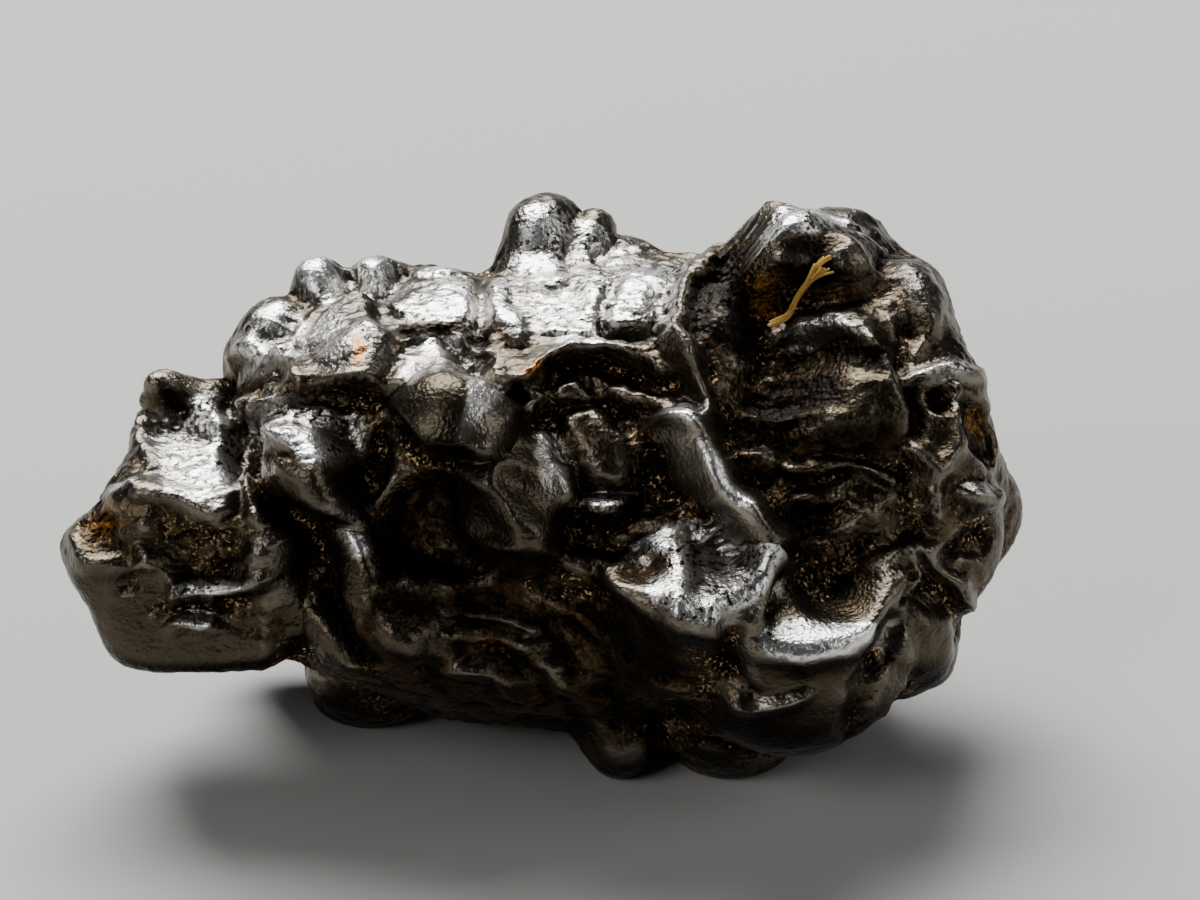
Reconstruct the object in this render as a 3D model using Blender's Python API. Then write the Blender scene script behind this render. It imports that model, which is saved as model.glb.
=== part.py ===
"""An iron meteorite: one solid nugget of nickel-iron, lumpy, ridged and pitted, that lies on a table.

Lengths are in millimetres up to the last step, which turns them to metres. The nugget is laid out in
its face frame, the way a collector turns it to look at it: u runs right, v up the face, and w out of
the face. FACE_TILT then leans that face back, so that the nugget lies on the table, z = 0.
"""

import math

import bpy
import numpy as np

MM = 0.001  # metres in a millimetre
FACE_TILT = math.radians(30)  # how far the face leans back from upright
TABLE = 8.3  # how far the table lies below the face frame's origin
SET_BACK = 1.15  # how far the nugget moves back, so that the table's origin is under its middle
FOOT_ZONE = (0.2, 1.2)  # heights between which the relief fades out, so that the feet stay flat
GRID = 72  # squares along each edge of the cube that is blown up into the nugget
TRIANGLES = 9600  # left when those that hardly bend the surface are merged
FACE_BIAS = 0.25  # how far the grid is drawn towards the face, which is the richest side
WEAR_PASSES = 2  # how often the finished relief is evened out
SEED = 11  # for the relief of the sides that the face doesn't show
IRON_COLOR = (0.30, 0.26, 0.22, 1)  # worn nickel-iron with brown oxide in its hollows, linear
IRON_ROUGHNESS = 0.38

# ---------------------------------------------------------------- bulk
# Convex blocks and rounded masses, grown together. Each point of the nugget is told by how far out it
# lies along its own ray, and the rays start from a spine inside it.
SPINE = np.array([8.0, 1.2, -0.8])  # from the middle of the nugget to the right end of its spine
# Each block has a sharpness, which is higher for crisper edges, and sides: the outward normal
# (u, v, w) and the distance from the face frame's origin.
BLOCKS = {
    "trunk": (9, {
        "plateau": ((0, 0.87, 0.50), 7.5),
        "upper front": ((0, 0.48, 0.88), 7.8),
        "lower front": ((0, -0.18, 0.98), 8.1),
        "toe": ((0.04, -0.82, 0.58), 9.1),
        "sole edge": ((-0.14, -1, 0), 8.4),
        "underside": ((0, -0.87, -0.50), 8.1),
        "brow": ((-0.06, 1, -0.10), 8.6),
        "heel": ((0, -0.12, -0.99), 8.6),
        "back": ((0, 0.50, -0.87), 8.9),
        "right": ((0.92, 0.40, 0), 16.4),
        "right low": ((0.68, -0.74, 0), 13.4),
        "right front": ((0.71, 0, 0.71), 12.6),
        "right back": ((0.71, 0, -0.71), 12.2),
        "left": ((-1, 0, 0), 11.4),
        "left high": ((-0.76, 0.65, 0), 10.6),
        "left low": ((-0.60, -0.80, 0), 10.6),
        "left front": ((-0.60, 0, 0.80), 9.0),
        "left back": ((-0.64, 0, -0.77), 10.2),
    }),
    "lobe": (14, {
        "shelf": ((0, 0.87, 0.50), 2.45),
        "front": ((-0.15, -0.25, 0.95), 8.2),
        "left front": ((-0.80, 0, 0.60), 15.6),
        "left": ((-1, 0, -0.10), 16.7),
        "upper left": ((-0.80, 0.57, 0.15), 13.1),
        "lower left": ((-0.84, -0.55, 0.10), 16.7),
        "bottom": ((0.05, -1, 0), 6.15),
        "underside": ((0, -0.60, -0.80), 3.5),
        "back left": ((-0.70, 0, -0.70), 10.9),
        "back": ((-0.10, 0, -1), 2.8),
        "right": ((1, 0, 0), -9.6),
    }),
    "shelf": (14, {
        "top": ((0, 0.87, 0.50), 2.8),
        "left": ((-1, 0, 0), 14.7),
        "front": ((0, -0.25, 0.97), 6.0),
        "bottom": ((0, -1, 0), 3.0),
        "back left": ((-0.70, 0, -0.70), 11.0),
        "back": ((0, 0, -1), 0.8),
        "right": ((1, 0, 0), -9.6),
    }),
    "left step": (14, {
        "top": ((0, 0.77, 0.64), 6.3),
        "front": ((-0.25, -0.25, 0.93), 9.5),
        "left": ((-0.95, 0, 0.30), 11.3),
        "right": ((0.80, 0.30, 0.50), -1.9),
        "bottom": ((-0.30, -0.95, 0.15), 4.0),
        "upper": ((0, 1, 0), 4.0),
        "far left": ((-1, 0, 0), 10.3),
        "back": ((0, 0, -1), -3.5),
    }),
    "boulder": (14, {
        "left": ((-0.60, 0.40, 0.70), 10.7),
        "right": ((0.65, 0.30, 0.70), 2.8),
        "left edge": ((-0.69, 0.72, 0), 9.3),
        "right edge": ((0.75, 0.66, 0), 0.0),
        "bottom": ((0, -0.90, 0.43), -0.3),
        "top": ((0, 0.87, 0.50), 8.4),
        "far left": ((-1, 0.20, -0.10), 9.6),
        "back": ((0, 0.50, -0.87), 1.2),
    }),
    "front knob": (11, {
        "top": ((0, 0.97, 0.24), 6.75),
        "cap": ((0, 1, 0), 5.2),
        "right": ((0.60, 0.50, 0.62), 6.0),
        "left": ((-0.70, 0.40, 0.59), 9.55),
        "front": ((0, -0.35, 0.94), 8.4),
        "bottom": ((0, -1, 0.15), 0.1),
        "upper right": ((0.61, 0.79, 0), 1.85),
        "lower right": ((0.74, -0.67, 0), -2.3),
        "lower left": ((-0.79, -0.62, 0), 2.6),
        "upper left": ((-0.74, 0.68, 0), 6.55),
        "back": ((0, 0, -1), -4.0),
    }),
    "web": (14, {
        "top": ((0, 0.74, 0.67), 3.5),
        "front": ((0, -0.10, 1), 10.5),
        "left": ((-0.90, 0.20, 0.35), 0.1),
        "lower left": ((-0.70, -0.60, 0.50), 4.5),
        "lower right": ((0.20, -0.75, 0.63), 11.2),
        "bottom": ((0, -1, 0.1), 8.2),
        "right": ((1, 0, 0), 8.2),
        "back": ((0, 0, -1), -2.0),
    }),
    "low rim": (12, {
        "top": ((0, 0.74, 0.67), 2.1),
        "front": ((0, -0.10, 1), 9.9),
        "bottom": ((0, -0.70, 0.71), 11.1),
        "left": ((-0.90, 0, 0.40), -3.0),
        "foot": ((0, -1, 0.1), 9.6),
        "right front": ((0.75, -0.30, 0.60), 15.6),
        "right": ((1, -0.2, 0), 13.2),
        "lower right": ((0.70, -0.70, 0), 12.6),
        "back": ((0, 0, -1), -2.0),
    }),
    "crest": (12, {
        "top": ((0, 0.85, 0.53), 10.05),
        "cap": ((0, 1, 0), 11.5),
        "front": ((0, -0.10, 1), 2.8),
        "left": ((-0.90, 0.30, 0.30), -3.6),
        "upper right": ((0.75, 0.60, 0.25), 14.45),
        "right": ((1, 0, 0), 13.0),
        "bottom": ((0, -1, 0.15), -6.7),
        "back": ((0, 0.60, -0.80), 5.8),
    }),
}
# Each mass is an ellipsoid: centre (u, v, w), half lengths (u, v, w).
MASSES = {
    "right low bulge": ((12.3, -4.4, 0.8), (2.75, 3.4, 4.0)),
    "right rim": ((13.6, 0.7, 0.6), (2.85, 5.0, 4.6)),
    "right knuckle": ((14.0, -1.7, 0.6), (2.8, 3.2, 3.6)),
    "belly": ((8.6, -5.6, 3.6), (4.4, 4.2, 4.4)),
    "right shoulder": ((12.7, 5.9, -0.3), (1.8, 2.2, 3.0)),
    "crest back": ((9.9, 7.3, -1.4), (2.8, 2.5, 3.6)),
    "lobe tip": ((-15.2, -2.5, 2.8), (1.85, 2.0, 2.6)),
    "ear": ((-13.45, 3.25, 0.9), (0.95, 0.85, 1.2)),
    "left shoulder": ((-9.5, 4.8, 0.3), (1.7, 2.2, 2.6)),
    "left head": ((-8.0, 7.2, -1.2), (1.3, 1.35, 2.5)),
    "middle head": ((-5.9, 7.6, -0.8), (1.1, 0.75, 2.2)),
    "strip head": ((-3.8, 7.2, -1.6), (1.5, 0.9, 2.6)),
    "top knob": ((-0.2, 9.1, -2.4), (1.5, 1.4, 2.2)),
    "top bead": ((1.6, 8.7, -2.0), (0.8, 0.9, 1.3)),
    "back crest": ((2.5, 7.8, -3.0), (2.2, 0.9, 2.2)),
    "front foot": ((2.8, -8.9, 1.2), (1.4, 1.5, 1.9)),
    "right foot": ((6.7, -8.4, 0.9), (2.6, 2.0, 2.7)),
    "back foot": ((-3.5, -2.8, -5.4), (3.8, 3.7, 3.5)),
    "back right foot": ((8.5, -2.7, -5.6), (3.6, 3.7, 3.6)),
    "neck": ((-9.6, -1.6, 3.4), (1.9, 2.4, 2.4)),
    "left foot": ((-6.2, -6.2, -2.0), (2.8, 2.5, 3.0)),
}
MASS_BLEND = 0.6  # width of the rounded crease between two masses

# ---------------------------------------------------------------- relief of the face
# Dabs are round lumps (height > 0) and hollows (height < 0): centre (u, v), half lengths, turn in
# degrees, height, and squareness, 1 for a dome and 4 for a flat top with steep sides.
DABS = {
    "lobe tip pit": ((-15.6, -1.6), (0.8, 0.9), 0, -0.4, 1),
    "lobe tip hump": ((-15.0, -0.2), (0.7, 0.9), 0, 0.3, 1),
    "lobe hollow": ((-11.9, -2.2), (2.1, 1.4), -8, -0.5, 2),
    "lobe bead 1": ((-13.7, -1.4), (0.4, 0.35), 0, 0.25, 1),
    "lobe bead 2": ((-13.8, -2.2), (0.4, 0.3), 0, 0.3, 1),
    "lobe cheek dent": ((-14.6, -3.3), (0.5, 0.5), 0, -0.25, 1),
    "lobe low pit": ((-12.0, -4.5), (1.6, 0.5), 0, -0.25, 2),
    "shelf rise": ((-11.9, 1.1), (1.2, 0.5), 15, 0.2, 1),
    "ear": ((-13.4, 3.7), (1.0, 0.4), -12, 0.5, 2),
    "ear's hollow": ((-13.0, 3.0), (0.6, 0.4), -12, -0.5, 2),
    "neck notch": ((-9.0, -1.3), (0.7, 0.8), -30, -0.35, 2),
    "step pit": ((-8.9, 0.7), (0.45, 0.3), 0, -0.3, 1),
    "step floor": ((-8.4, 2.3), (1.3, 0.7), -20, -0.1, 3),
    "shoulder dimple": ((-9.7, 5.5), (1.0, 0.7), 25, -0.2, 2),
    "shoulder wrinkle": ((-9.9, 5.7), (0.9, 0.25), -25, 0.4, 1),
    "under the boulder": ((-6.9, 3.2), (1.4, 0.45), -12, -0.5, 2),
    "boulder pit": ((-6.6, 5.1), (0.5, 0.8), 15, -0.12, 1),
    "beside the knob": ((-6.0, 1.0), (0.8, 1.5), -25, -0.8, 2),
    "under the knob": ((-3.5, -1.4), (2.6, 2.1), 0, -1.5, 2),
    "strip slope": ((-3.3, 6.6), (1.1, 1.6), 0, 0.2, 3),
    "plateau lump 1": ((-1.2, 6.4), (0.6, 1.6), 0, 0.35, 2),
    "plateau lump 2": ((0.5, 7.5), (0.7, 0.5), 0, 0.3, 2),
    "plateau lump 3": ((2.0, 7.2), (0.6, 0.8), 0, 0.3, 2),
    "plateau lump 4": ((0.9, 5.8), (1.2, 0.4), 0, 0.25, 2),
    "plateau block": ((3.4, 6.9), (1.3, 1.1), -8, 0.45, 2),
    "plateau undercut": ((3.4, 5.8), (1.2, 0.4), -8, -0.8, 2),
    "plateau dip": ((2.4, 6.2), (0.4, 0.5), 0, -0.3, 1),
    "front middle": ((2.2, 0.5), (3.7, 3.3), 0, -1.3, 3),
    "front ledge 1": ((1.3, 3.0), (1.2, 0.45), -8, 0.8, 2),
    "front ledge 1b": ((3.4, 3.3), (1.0, 0.5), -8, 0.4, 2),
    "front plate": ((2.1, 1.5), (1.9, 1.2), -18, 1.1, 2),
    "front block": ((-0.9, -0.5), (2.3, 2.7), 20, 1.4, 2),
    "front ledge 2": ((2.5, -0.5), (1.3, 0.8), 8, 1.5, 2),
    "big cavity": ((8.9, 2.8), (3.6, 4.9), 12, -2.0, 2),
    "cavity bulge": ((11.0, 2.9), (2.2, 2.5), 0, 1.9, 1),
    "cavity inner wall": ((6.5, 5.0), (1.1, 2.2), 8, 0.8, 1),
    "crest chin 1": ((8.6, 8.2), (0.9, 0.5), -10, 0.3, 2),
    "crest chin 2": ((11.1, 8.0), (1.1, 1.0), 0, 0.5, 2),
    "low hollow": ((9.9, -2.3), (2.4, 2.2), 0, -1.2, 2),
    "rim lump": ((13.6, 6.8), (0.9, 1.6), 15, 0.6, 3),
    "rim recess": ((15.5, 1.9), (0.8, 1.3), 12, -0.9, 3),
    "rim recess 2": ((14.1, 2.9), (0.8, 0.7), 0, -0.8, 2),
    "rim knuckle": ((15.2, -0.2), (0.8, 0.6), 0, 0.8, 2),
    "rim gully": ((15.2, -1.7), (0.9, 0.6), 20, -0.6, 2),
    "rim spot": ((14.8, -3.8), (0.6, 0.5), 0, 0.35, 1),
    "above the web": ((5.6, -1.6), (2.0, 1.0), 0, -0.4, 2),
    "web pit 1": ((3.4, -2.9), (0.8, 0.6), 0, -0.5, 2),
    "web pit 3": ((6.6, -2.8), (0.7, 0.5), 0, -0.25, 2),
    "dark hollow": ((-0.8, -4.4), (4.0, 2.4), -12, -0.9, 2),
    "dark ledge": ((-4.0, -3.6), (1.2, 0.6), -8, 0.45, 2),
    "dark block": ((-4.1, -5.0), (1.2, 1.1), 0, 0.4, 2),
    "belly dent": ((6.6, -5.6), (1.0, 1.1), 0, -0.2, 1),
    "column lump": ((13.3, -5.6), (1.3, 1.6), 10, 0.5, 3),
}
# Ridges (height > 0) and grooves (height < 0): the line (u, v) that they follow, how far they reach
# on the line's left and on its right, seen along it, and their height.
LINES = {
    "lobe tip rim": (((-16.2, -1.8), (-15.7, -2.5), (-14.8, -2.5)), 0.3, 0.6, 0.35),
    "lobe curl": (((-14.1, -2.4), (-13.4, -2.5), (-12.9, -3.3), (-12.8, -4.1)), 0.4, 0.5, 0.5),
    "lobe ledge": (((-12.7, -4.0), (-11.4, -3.7), (-10.1, -3.6)), 0.7, 0.35, 0.5),
    "lobe low edge": (((-12.7, -4.9), (-11.3, -4.9)), 0.3, 0.6, 0.3),
    "shelf edge": (((-14.3, -0.3), (-12.6, -0.6), (-11.2, -0.5), (-10.2, 0.3)), 0.9, 0.35, 0.4),
    "shelf side": (((-14.3, 3.0), (-14.3, 1.2)), 0.4, 0.5, 0.35),
    "neck groove": (((-10.9, 3.6), (-10.6, 2.2), (-10.3, 0.5)), 0.5, 0.5, -0.9),
    "neck ridge": (((-9.9, 2.8), (-9.95, 0.4), (-9.95, -0.8), (-9.0, -2.1)), 0.45, 0.35, 0.6),
    "step edge": (((-9.9, 1.4), (-8.6, 1.4), (-7.4, 1.2)), 0.6, 0.4, 0.35),
    "step back": (((-9.9, 2.6), (-9.0, 3.1), (-8.3, 3.9)), 0.5, 0.4, 0.5),
    "main diagonal": (((-8.1, 0.5), (-6.4, -1.7), (-5.6, -3.3), (-4.9, -5.2)), 1.0, 1.7, 0.8),
    "diagonal groove": (((-9.0, -0.8), (-7.4, -3.1), (-5.8, -5.6)), 0.6, 0.6, -0.5),
    "low diagonal": (((-9.6, -2.4), (-8.3, -4.4), (-6.6, -5.9)), 1.0, 1.2, 0.6),
    "shoulder ridge": (((-10.9, 2.0), (-10.6, 3.3), (-9.4, 4.3), (-8.6, 4.2)), 0.5, 0.5, 0.4),
    "shoulder edge": (((-11.0, 5.0), (-10.2, 4.5), (-9.3, 4.4), (-8.5, 5.0)), 0.4, 0.35, 0.4),
    "head neck": (((-7.3, 8.0), (-7.1, 7.1), (-8.1, 5.8), (-8.7, 4.7)), 0.3, 0.3, -0.4),
    "egg neck": (((-7.0, 7.1), (-5.8, 6.9), (-5.0, 7.3)), 0.3, 0.3, -0.6),
    "boulder base": (((-8.3, 3.8), (-7.2, 3.9), (-5.6, 3.6)), 0.4, 0.3, 0.2),
    "boulder scratch": (((-6.0, 6.3), (-5.6, 5.4)), 0.2, 0.2, -0.25),
    "knob outline": (((-5.6, 3.6), (-4.8, 4.7), (-3.4, 4.9), (-2.0, 4.3), (-0.8, 3.1)), 0.35, 0.25, -0.8),
    "strip groove": (((-5.7, 7.0), (-5.0, 6.1), (-4.6, 5.1)), 0.25, 0.3, -0.35),
    "plateau slit": (((-2.1, 8.0), (-2.0, 6.2), (-2.1, 4.7)), 0.28, 0.28, -0.7),
    "strip edge": (((-4.1, 4.9), (-2.2, 4.6)), 0.5, 0.35, 0.35),
    "plateau rim": (((-1.3, 3.8), (0, 4.3), (1.2, 4.8), (3.8, 4.7), (4.3, 4.1)), 0.8, 0.4, 0.6),
    "block edge": (((0.2, 1.4), (0.7, 0.5), (1.2, -0.7)), 0.6, 0.6, 0.35),
    "arch": (((0.4, 3.7), (1.2, 4.1), (2.5, 4.2), (3.9, 4.0)), 0.4, 0.9, -0.7),
    "plateau streak": (((2.4, 8.0), (2.4, 6.4), (3.2, 5.5)), 0.25, 0.25, -0.35),
    "saddle": (((4.0, 8.3), (5.6, 8.1)), 0.3, 0.5, -0.4),
    "rod": (((4.4, 2.2), (5.3, 1.6), (6.3, 0.2), (7.2, -1.1), (7.8, -2.0)), 0.9, 1.3, 1.7),
    "rod end": (((4.2, 2.6), (5.2, 2.4)), 0.7, 0.6, 0.8),
    "thin ridge": (((4.7, 4.9), (5.2, 3.6), (6.2, 1.4), (7.4, -0.6), (8.3, -1.7)), 0.45, 0.45, 1.0),
    "cavity edge": (((7.4, 8.4), (6.2, 8.0), (5.2, 7.3), (4.9, 6.3), (4.8, 4.9), (5.2, 4.2)), 0.5, 0.5, 0.9),
    "crest lip": (((7.9, 9.1), (9.3, 9.4), (10.8, 9.5), (12.1, 8.6)), 0.4, 0.3, 0.35),
    "cavity ledge": (((8.3, 5.7), (9.3, 5.9), (10.4, 5.7), (11.4, 5.2)), 0.7, 0.35, 0.8),
    "cavity bulge fold": (((12.9, 5.6), (12.6, 4.0), (12.9, 2.2)), 0.4, 0.6, -0.6),
    "cavity sill": (((6.8, 3.3), (8.0, 3.1), (9.3, 3.1)), 0.4, 0.3, 0.4),
    "cavity shelf 1": (((7.4, 1.2), (8.4, 1.1)), 0.45, 0.35, 0.6),
    "cavity shelf 2": (((9.0, 0.9), (10.6, 0.6), (12.0, 0.2)), 0.45, 0.35, 0.6),
    "cavity shelf 3": (((9.4, -0.4), (10.6, -0.2)), 0.5, 0.3, 0.4),
    "rim band": (((12.9, 3.9), (14.3, 4.3), (15.9, 3.9)), 0.5, 0.4, 0.5),
    "rim fold": (((14.8, 3.4), (14.6, 1.6), (14.0, 0.3)), 0.4, 0.4, 0.5),
    "rim fold 2": (((12.6, 1.4), (13.6, 0.5), (13.7, -0.8)), 0.4, 0.4, 0.7),
    "rim loop": (((12.9, -1.9), (13.8, -2.0), (14.7, -3.2), (14.6, -4.1)), 0.5, 0.5, 0.8),
    "rim inner": (((12.2, -3.0), (12.8, -2.4), (13.5, -3.2), (12.5, -4.4)), 0.4, 0.4, 0.8),
    "shelf rim": (((7.6, -5.5), (9.0, -6.0), (10.6, -5.9), (11.7, -5.0), (12.3, -3.8)), 1.0, 0.6, 0.4),
    "web rim": (((2.5, -3.0), (3.3, -4.0), (4.6, -4.6), (5.8, -4.9)), 0.9, 0.6, 0.5),
    "web rib 1": (((4.2, -1.2), (4.7, -2.2), (4.9, -3.4), (4.7, -4.4)), 0.8, 0.8, 0.5),
    "web rib 2": (((4.9, -2.2), (6.0, -1.6)), 0.4, 0.4, 0.4),
    "web rib 3": (((5.9, -4.6), (6.9, -3.7), (7.7, -2.6)), 0.9, 0.8, 0.4),
    "belly crease": (((6.4, -4.6), (6.7, -5.8), (7.1, -7.3)), 0.25, 0.4, -0.4),
    "belly ridge": (((6.6, -7.8), (7.8, -7.3), (9.0, -7.1)), 0.3, 0.4, 0.5),
    "column groove": (((12.1, -4.9), (11.4, -6.6), (10.7, -8.4)), 0.5, 0.5, -0.6),
    "layer 1": (((-3.3, -4.4), (-1.8, -4.6), (-0.4, -5.4)), 0.5, 0.3, 0.5),
    "layer 2": (((-3.2, -5.2), (-2.0, -5.3), (-0.8, -5.9)), 0.5, 0.3, 0.5),
    "layer 3": (((-3.4, -6.4), (-1.6, -6.6), (0.2, -7.4)), 0.5, 0.3, 0.5),
    "strand 1": (((0.4, -4.4), (1.5, -5.1), (2.7, -6.4)), 0.5, 0.4, 0.35),
    "strand 2": (((1.4, -4.1), (2.6, -4.8), (3.9, -6.1)), 0.5, 0.4, 0.35),
    "strand 3": (((3.3, -6.6), (4.2, -7.0), (5.4, -7.3)), 0.35, 0.35, 0.5),
    "strand 4": (((-0.4, -5.9), (1.2, -7.0), (2.4, -8.0)), 0.4, 0.4, 0.5),
    "lower rim": (((-3.8, -7.5), (-1.5, -8.0), (1.1, -8.3)), 0.6, 0.4, 0.6),
}

# ---------------------------------------------------------------- relief of the other sides
THUMBPRINTS = 34  # shallow hollows, spread over the whole nugget
THUMBPRINT_DEPTH = (0.5, 1.5)  # least and most
THUMBPRINT_EDGE = 1.5  # how far each hollow's slope reaches in from the ridge around it
SWELL = (4.0, 9.0), 0.4  # shortest and longest wave of their unevenness, and its height
WAVES = 24  # random waves that are added up wherever something is uneven
WANDER = (3.0, 6.0), 0.2  # waves that bend the face's ridges and lumps, and how far
TREMBLE = (0.9, 2.0), 0.06  # shorter waves that roughen their outlines


def unit(vectors):
    """Each vector divided by its own length."""
    return vectors / np.linalg.norm(vectors, axis=-1, keepdims=True)


def ease(x, low, high):
    """0 below low, 1 above high, and an S-curve between: t * t * (3 - 2 t)."""
    t = np.clip((x - low) / (high - low), 0, 1)
    return t * t * (3 - 2 * t)


def smooth_max(a, b, width):
    """The larger of two distances, with the crease between them rounded over the given width."""
    near = np.clip(width - np.abs(a - b), 0, None) / width
    return np.maximum(a, b) + near * near * width / 4


def starts_of(aims):
    """Where each ray starts: as far along the spine as its aim leans towards the spine's end."""
    return aims[:, :1] * SPINE


def block_reach(starts, aims, sharpness, sides):
    """How far out each ray leaves a block: the power mean of its distances to the sides that it runs
    out through. A ray that passes the block by gets that distance less twice how far it misses."""
    closeness = np.zeros(len(aims))
    entry = np.zeros(len(aims))
    for normal, distance in sides.values():
        normal = unit(np.array(normal, dtype=float))
        speed = aims @ normal
        ahead = distance - starts @ normal
        outward = speed > 1e-9
        share = np.where(outward, speed / np.maximum(ahead, 1e-3), 0)
        closeness += share**sharpness
        entry = np.maximum(entry, np.where(~outward & (ahead < 0), ahead / np.minimum(speed, -1e-3), 0))
    leave = closeness ** (-1 / sharpness)
    return leave - 2 * np.clip(entry - leave, 0, None)


def ellipsoid_reach(starts, aims, centre, halves):
    """How far out each ray leaves an ellipsoid: the larger root of its quadratic. A ray that misses
    gets the distance of its nearest pass, less how badly it misses."""
    a_aim = aims / halves
    a_centre = (np.array(centre) - starts) / halves
    a = (a_aim**2).sum(axis=1)
    b = (a_aim * a_centre).sum(axis=1)
    c = (a_centre**2).sum(axis=1) - 1
    inside = b * b - a * c
    return (b + np.sign(inside) * np.sqrt(np.abs(inside))) / a


def bulk_points(aims):
    """Points on the rounded union of all blocks and masses, one along each aim's ray."""
    starts = starts_of(aims)
    reach = np.zeros(len(aims))
    for sharpness, sides in BLOCKS.values():
        reach = smooth_max(reach, block_reach(starts, aims, sharpness, sides), MASS_BLEND)
    for centre, halves in MASSES.values():
        reach = smooth_max(reach, ellipsoid_reach(starts, aims, centre, halves), MASS_BLEND)
    return starts + aims * reach[:, None]


def dab_height(u, v, centre, halves, turn, height, squareness):
    """A lump or hollow: height * (1 - r^(2 q))^1.5, with r the distance from the centre in half
    lengths along the turned axes, and q the squareness."""
    angle = math.radians(turn)
    across = (u - centre[0]) * math.cos(angle) + (v - centre[1]) * math.sin(angle)
    along = (v - centre[1]) * math.cos(angle) - (u - centre[0]) * math.sin(angle)
    r2 = (across / halves[0]) ** 2 + (along / halves[1]) ** 2
    return height * (1 - np.clip(r2, 0, 1) ** squareness) ** 1.5


def line_height(u, v, line, left, right, height):
    """A ridge or groove: height * (1 - d^2)^1.5, with d the distance from the line as a share of how far
    it reaches on that side."""
    nearest = np.full(len(u), np.inf)
    for (u0, v0), (u1, v1) in zip(line[:-1], line[1:]):
        du, dv = u1 - u0, v1 - v0
        t = np.clip(((u - u0) * du + (v - v0) * dv) / (du * du + dv * dv), 0, 1)
        off_u, off_v = u - u0 - t * du, v - v0 - t * dv
        reach = np.where(du * off_v - dv * off_u > 0, left, right)
        nearest = np.minimum(nearest, np.hypot(off_u, off_v) / reach)
    return height * (1 - np.clip(nearest, 0, 1) ** 2) ** 1.5


def face_relief(u, v):
    """Height of the face's lumps, hollows, ridges and grooves over (u, v)."""
    height = np.zeros(len(u))
    for dab in DABS.values():
        height += dab_height(u, v, *dab)
    for line in LINES.values():
        height += line_height(u, v, *line)
    return height


def waves(points, rng, lengths, height):
    """Sum of WAVES sine waves that run in random directions, with a typical total of the height."""
    headings = unit(rng.normal(size=(WAVES, 3)))
    length = rng.uniform(*lengths, size=(WAVES, 1))
    phases = rng.uniform(0, 2 * math.pi, size=WAVES)
    total = np.sin(points @ (headings * 2 * math.pi / length).T + phases).sum(axis=1)
    return height * total / math.sqrt(WAVES / 2)


def thumbprints(points, rng):
    """Hollows with ridges between them. Each point belongs to its nearest seed; how much nearer that
    seed is than the next one says how far in from the ridge the point lies."""
    seeds = bulk_points(unit(rng.normal(size=(THUMBPRINTS, 3))))
    depths = rng.uniform(*THUMBPRINT_DEPTH, size=THUMBPRINTS)
    away = np.linalg.norm(points[:, None, :] - seeds[None, :, :], axis=2)
    order = np.argsort(away, axis=1)[:, :2]
    first, second = np.take_along_axis(away, order, axis=1).T
    return -depths[order[:, 0]] * ease(second - first, 0, THUMBPRINT_EDGE * 2)


def cube_grid(squares):
    """A cube's surface as (points, quads): six square grids, with the points that neighbouring sides
    share made one. Rows are spaced by tan, so that the blown-up squares stay even."""
    steps = np.tan(np.linspace(-1, 1, squares + 1) * math.pi / 4)
    s, t = (g.ravel() for g in np.meshgrid(steps, steps, indexing="ij"))
    one = np.ones_like(s)
    sides = [(one, s, t), (-one, t, s), (t, one, s), (s, -one, t), (s, t, one), (t, s, -one)]
    points = np.concatenate([np.stack(side, axis=1) for side in sides])
    index = np.arange((squares + 1) ** 2).reshape(squares + 1, squares + 1)
    corners = [index[:-1, :-1], index[1:, :-1], index[1:, 1:], index[:-1, 1:]]
    quad = np.stack(corners, axis=-1).reshape(-1, 4)
    quads = np.concatenate([quad + k * len(s) for k in range(6)])
    keys = np.round(points * 1e6).astype(np.int64)
    _, first, shared = np.unique(keys, axis=0, return_index=True, return_inverse=True)
    return points[first], shared.reshape(-1)[quads]


def aims_of(cube_points):
    """Directions from the origin through the cube's points, drawn a little towards the face, +w."""
    return unit(unit(cube_points) + np.array([0, 0, FACE_BIAS]))


def normals_of(points, quads):
    """Unit normal at each point: the sum of its quads' area vectors."""
    a, b, c, d = (points[quads[:, k]] for k in range(4))
    area = np.cross(c - a, d - b)
    total = np.zeros_like(points)
    for k in range(4):
        np.add.at(total, quads[:, k], area)
    return unit(total)


def worn(points, quads):
    """The points after wear: each pass moves every point halfway to the middle of its neighbours."""
    edges = np.concatenate([quads[:, [k, (k + 1) % 4]] for k in range(4)])
    count = np.bincount(edges[:, 0], minlength=len(points))[:, None]
    for _ in range(WEAR_PASSES):
        total = np.zeros_like(points)
        np.add.at(total, edges[:, 0], points[edges[:, 1]])
        points = (points + total / count) / 2
    return points


def to_table(points):
    """Face-frame points (u, v, w) turned to lie on the table: x = u, and v and w leaned back."""
    u, v, w = points.T
    lean_sin = math.sin(FACE_TILT)
    lean_cos = math.cos(FACE_TILT)
    y = v * lean_sin - w * lean_cos + SET_BACK
    z = v * lean_cos + w * lean_sin + TABLE
    return np.stack([u, y, z], axis=1)


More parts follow.
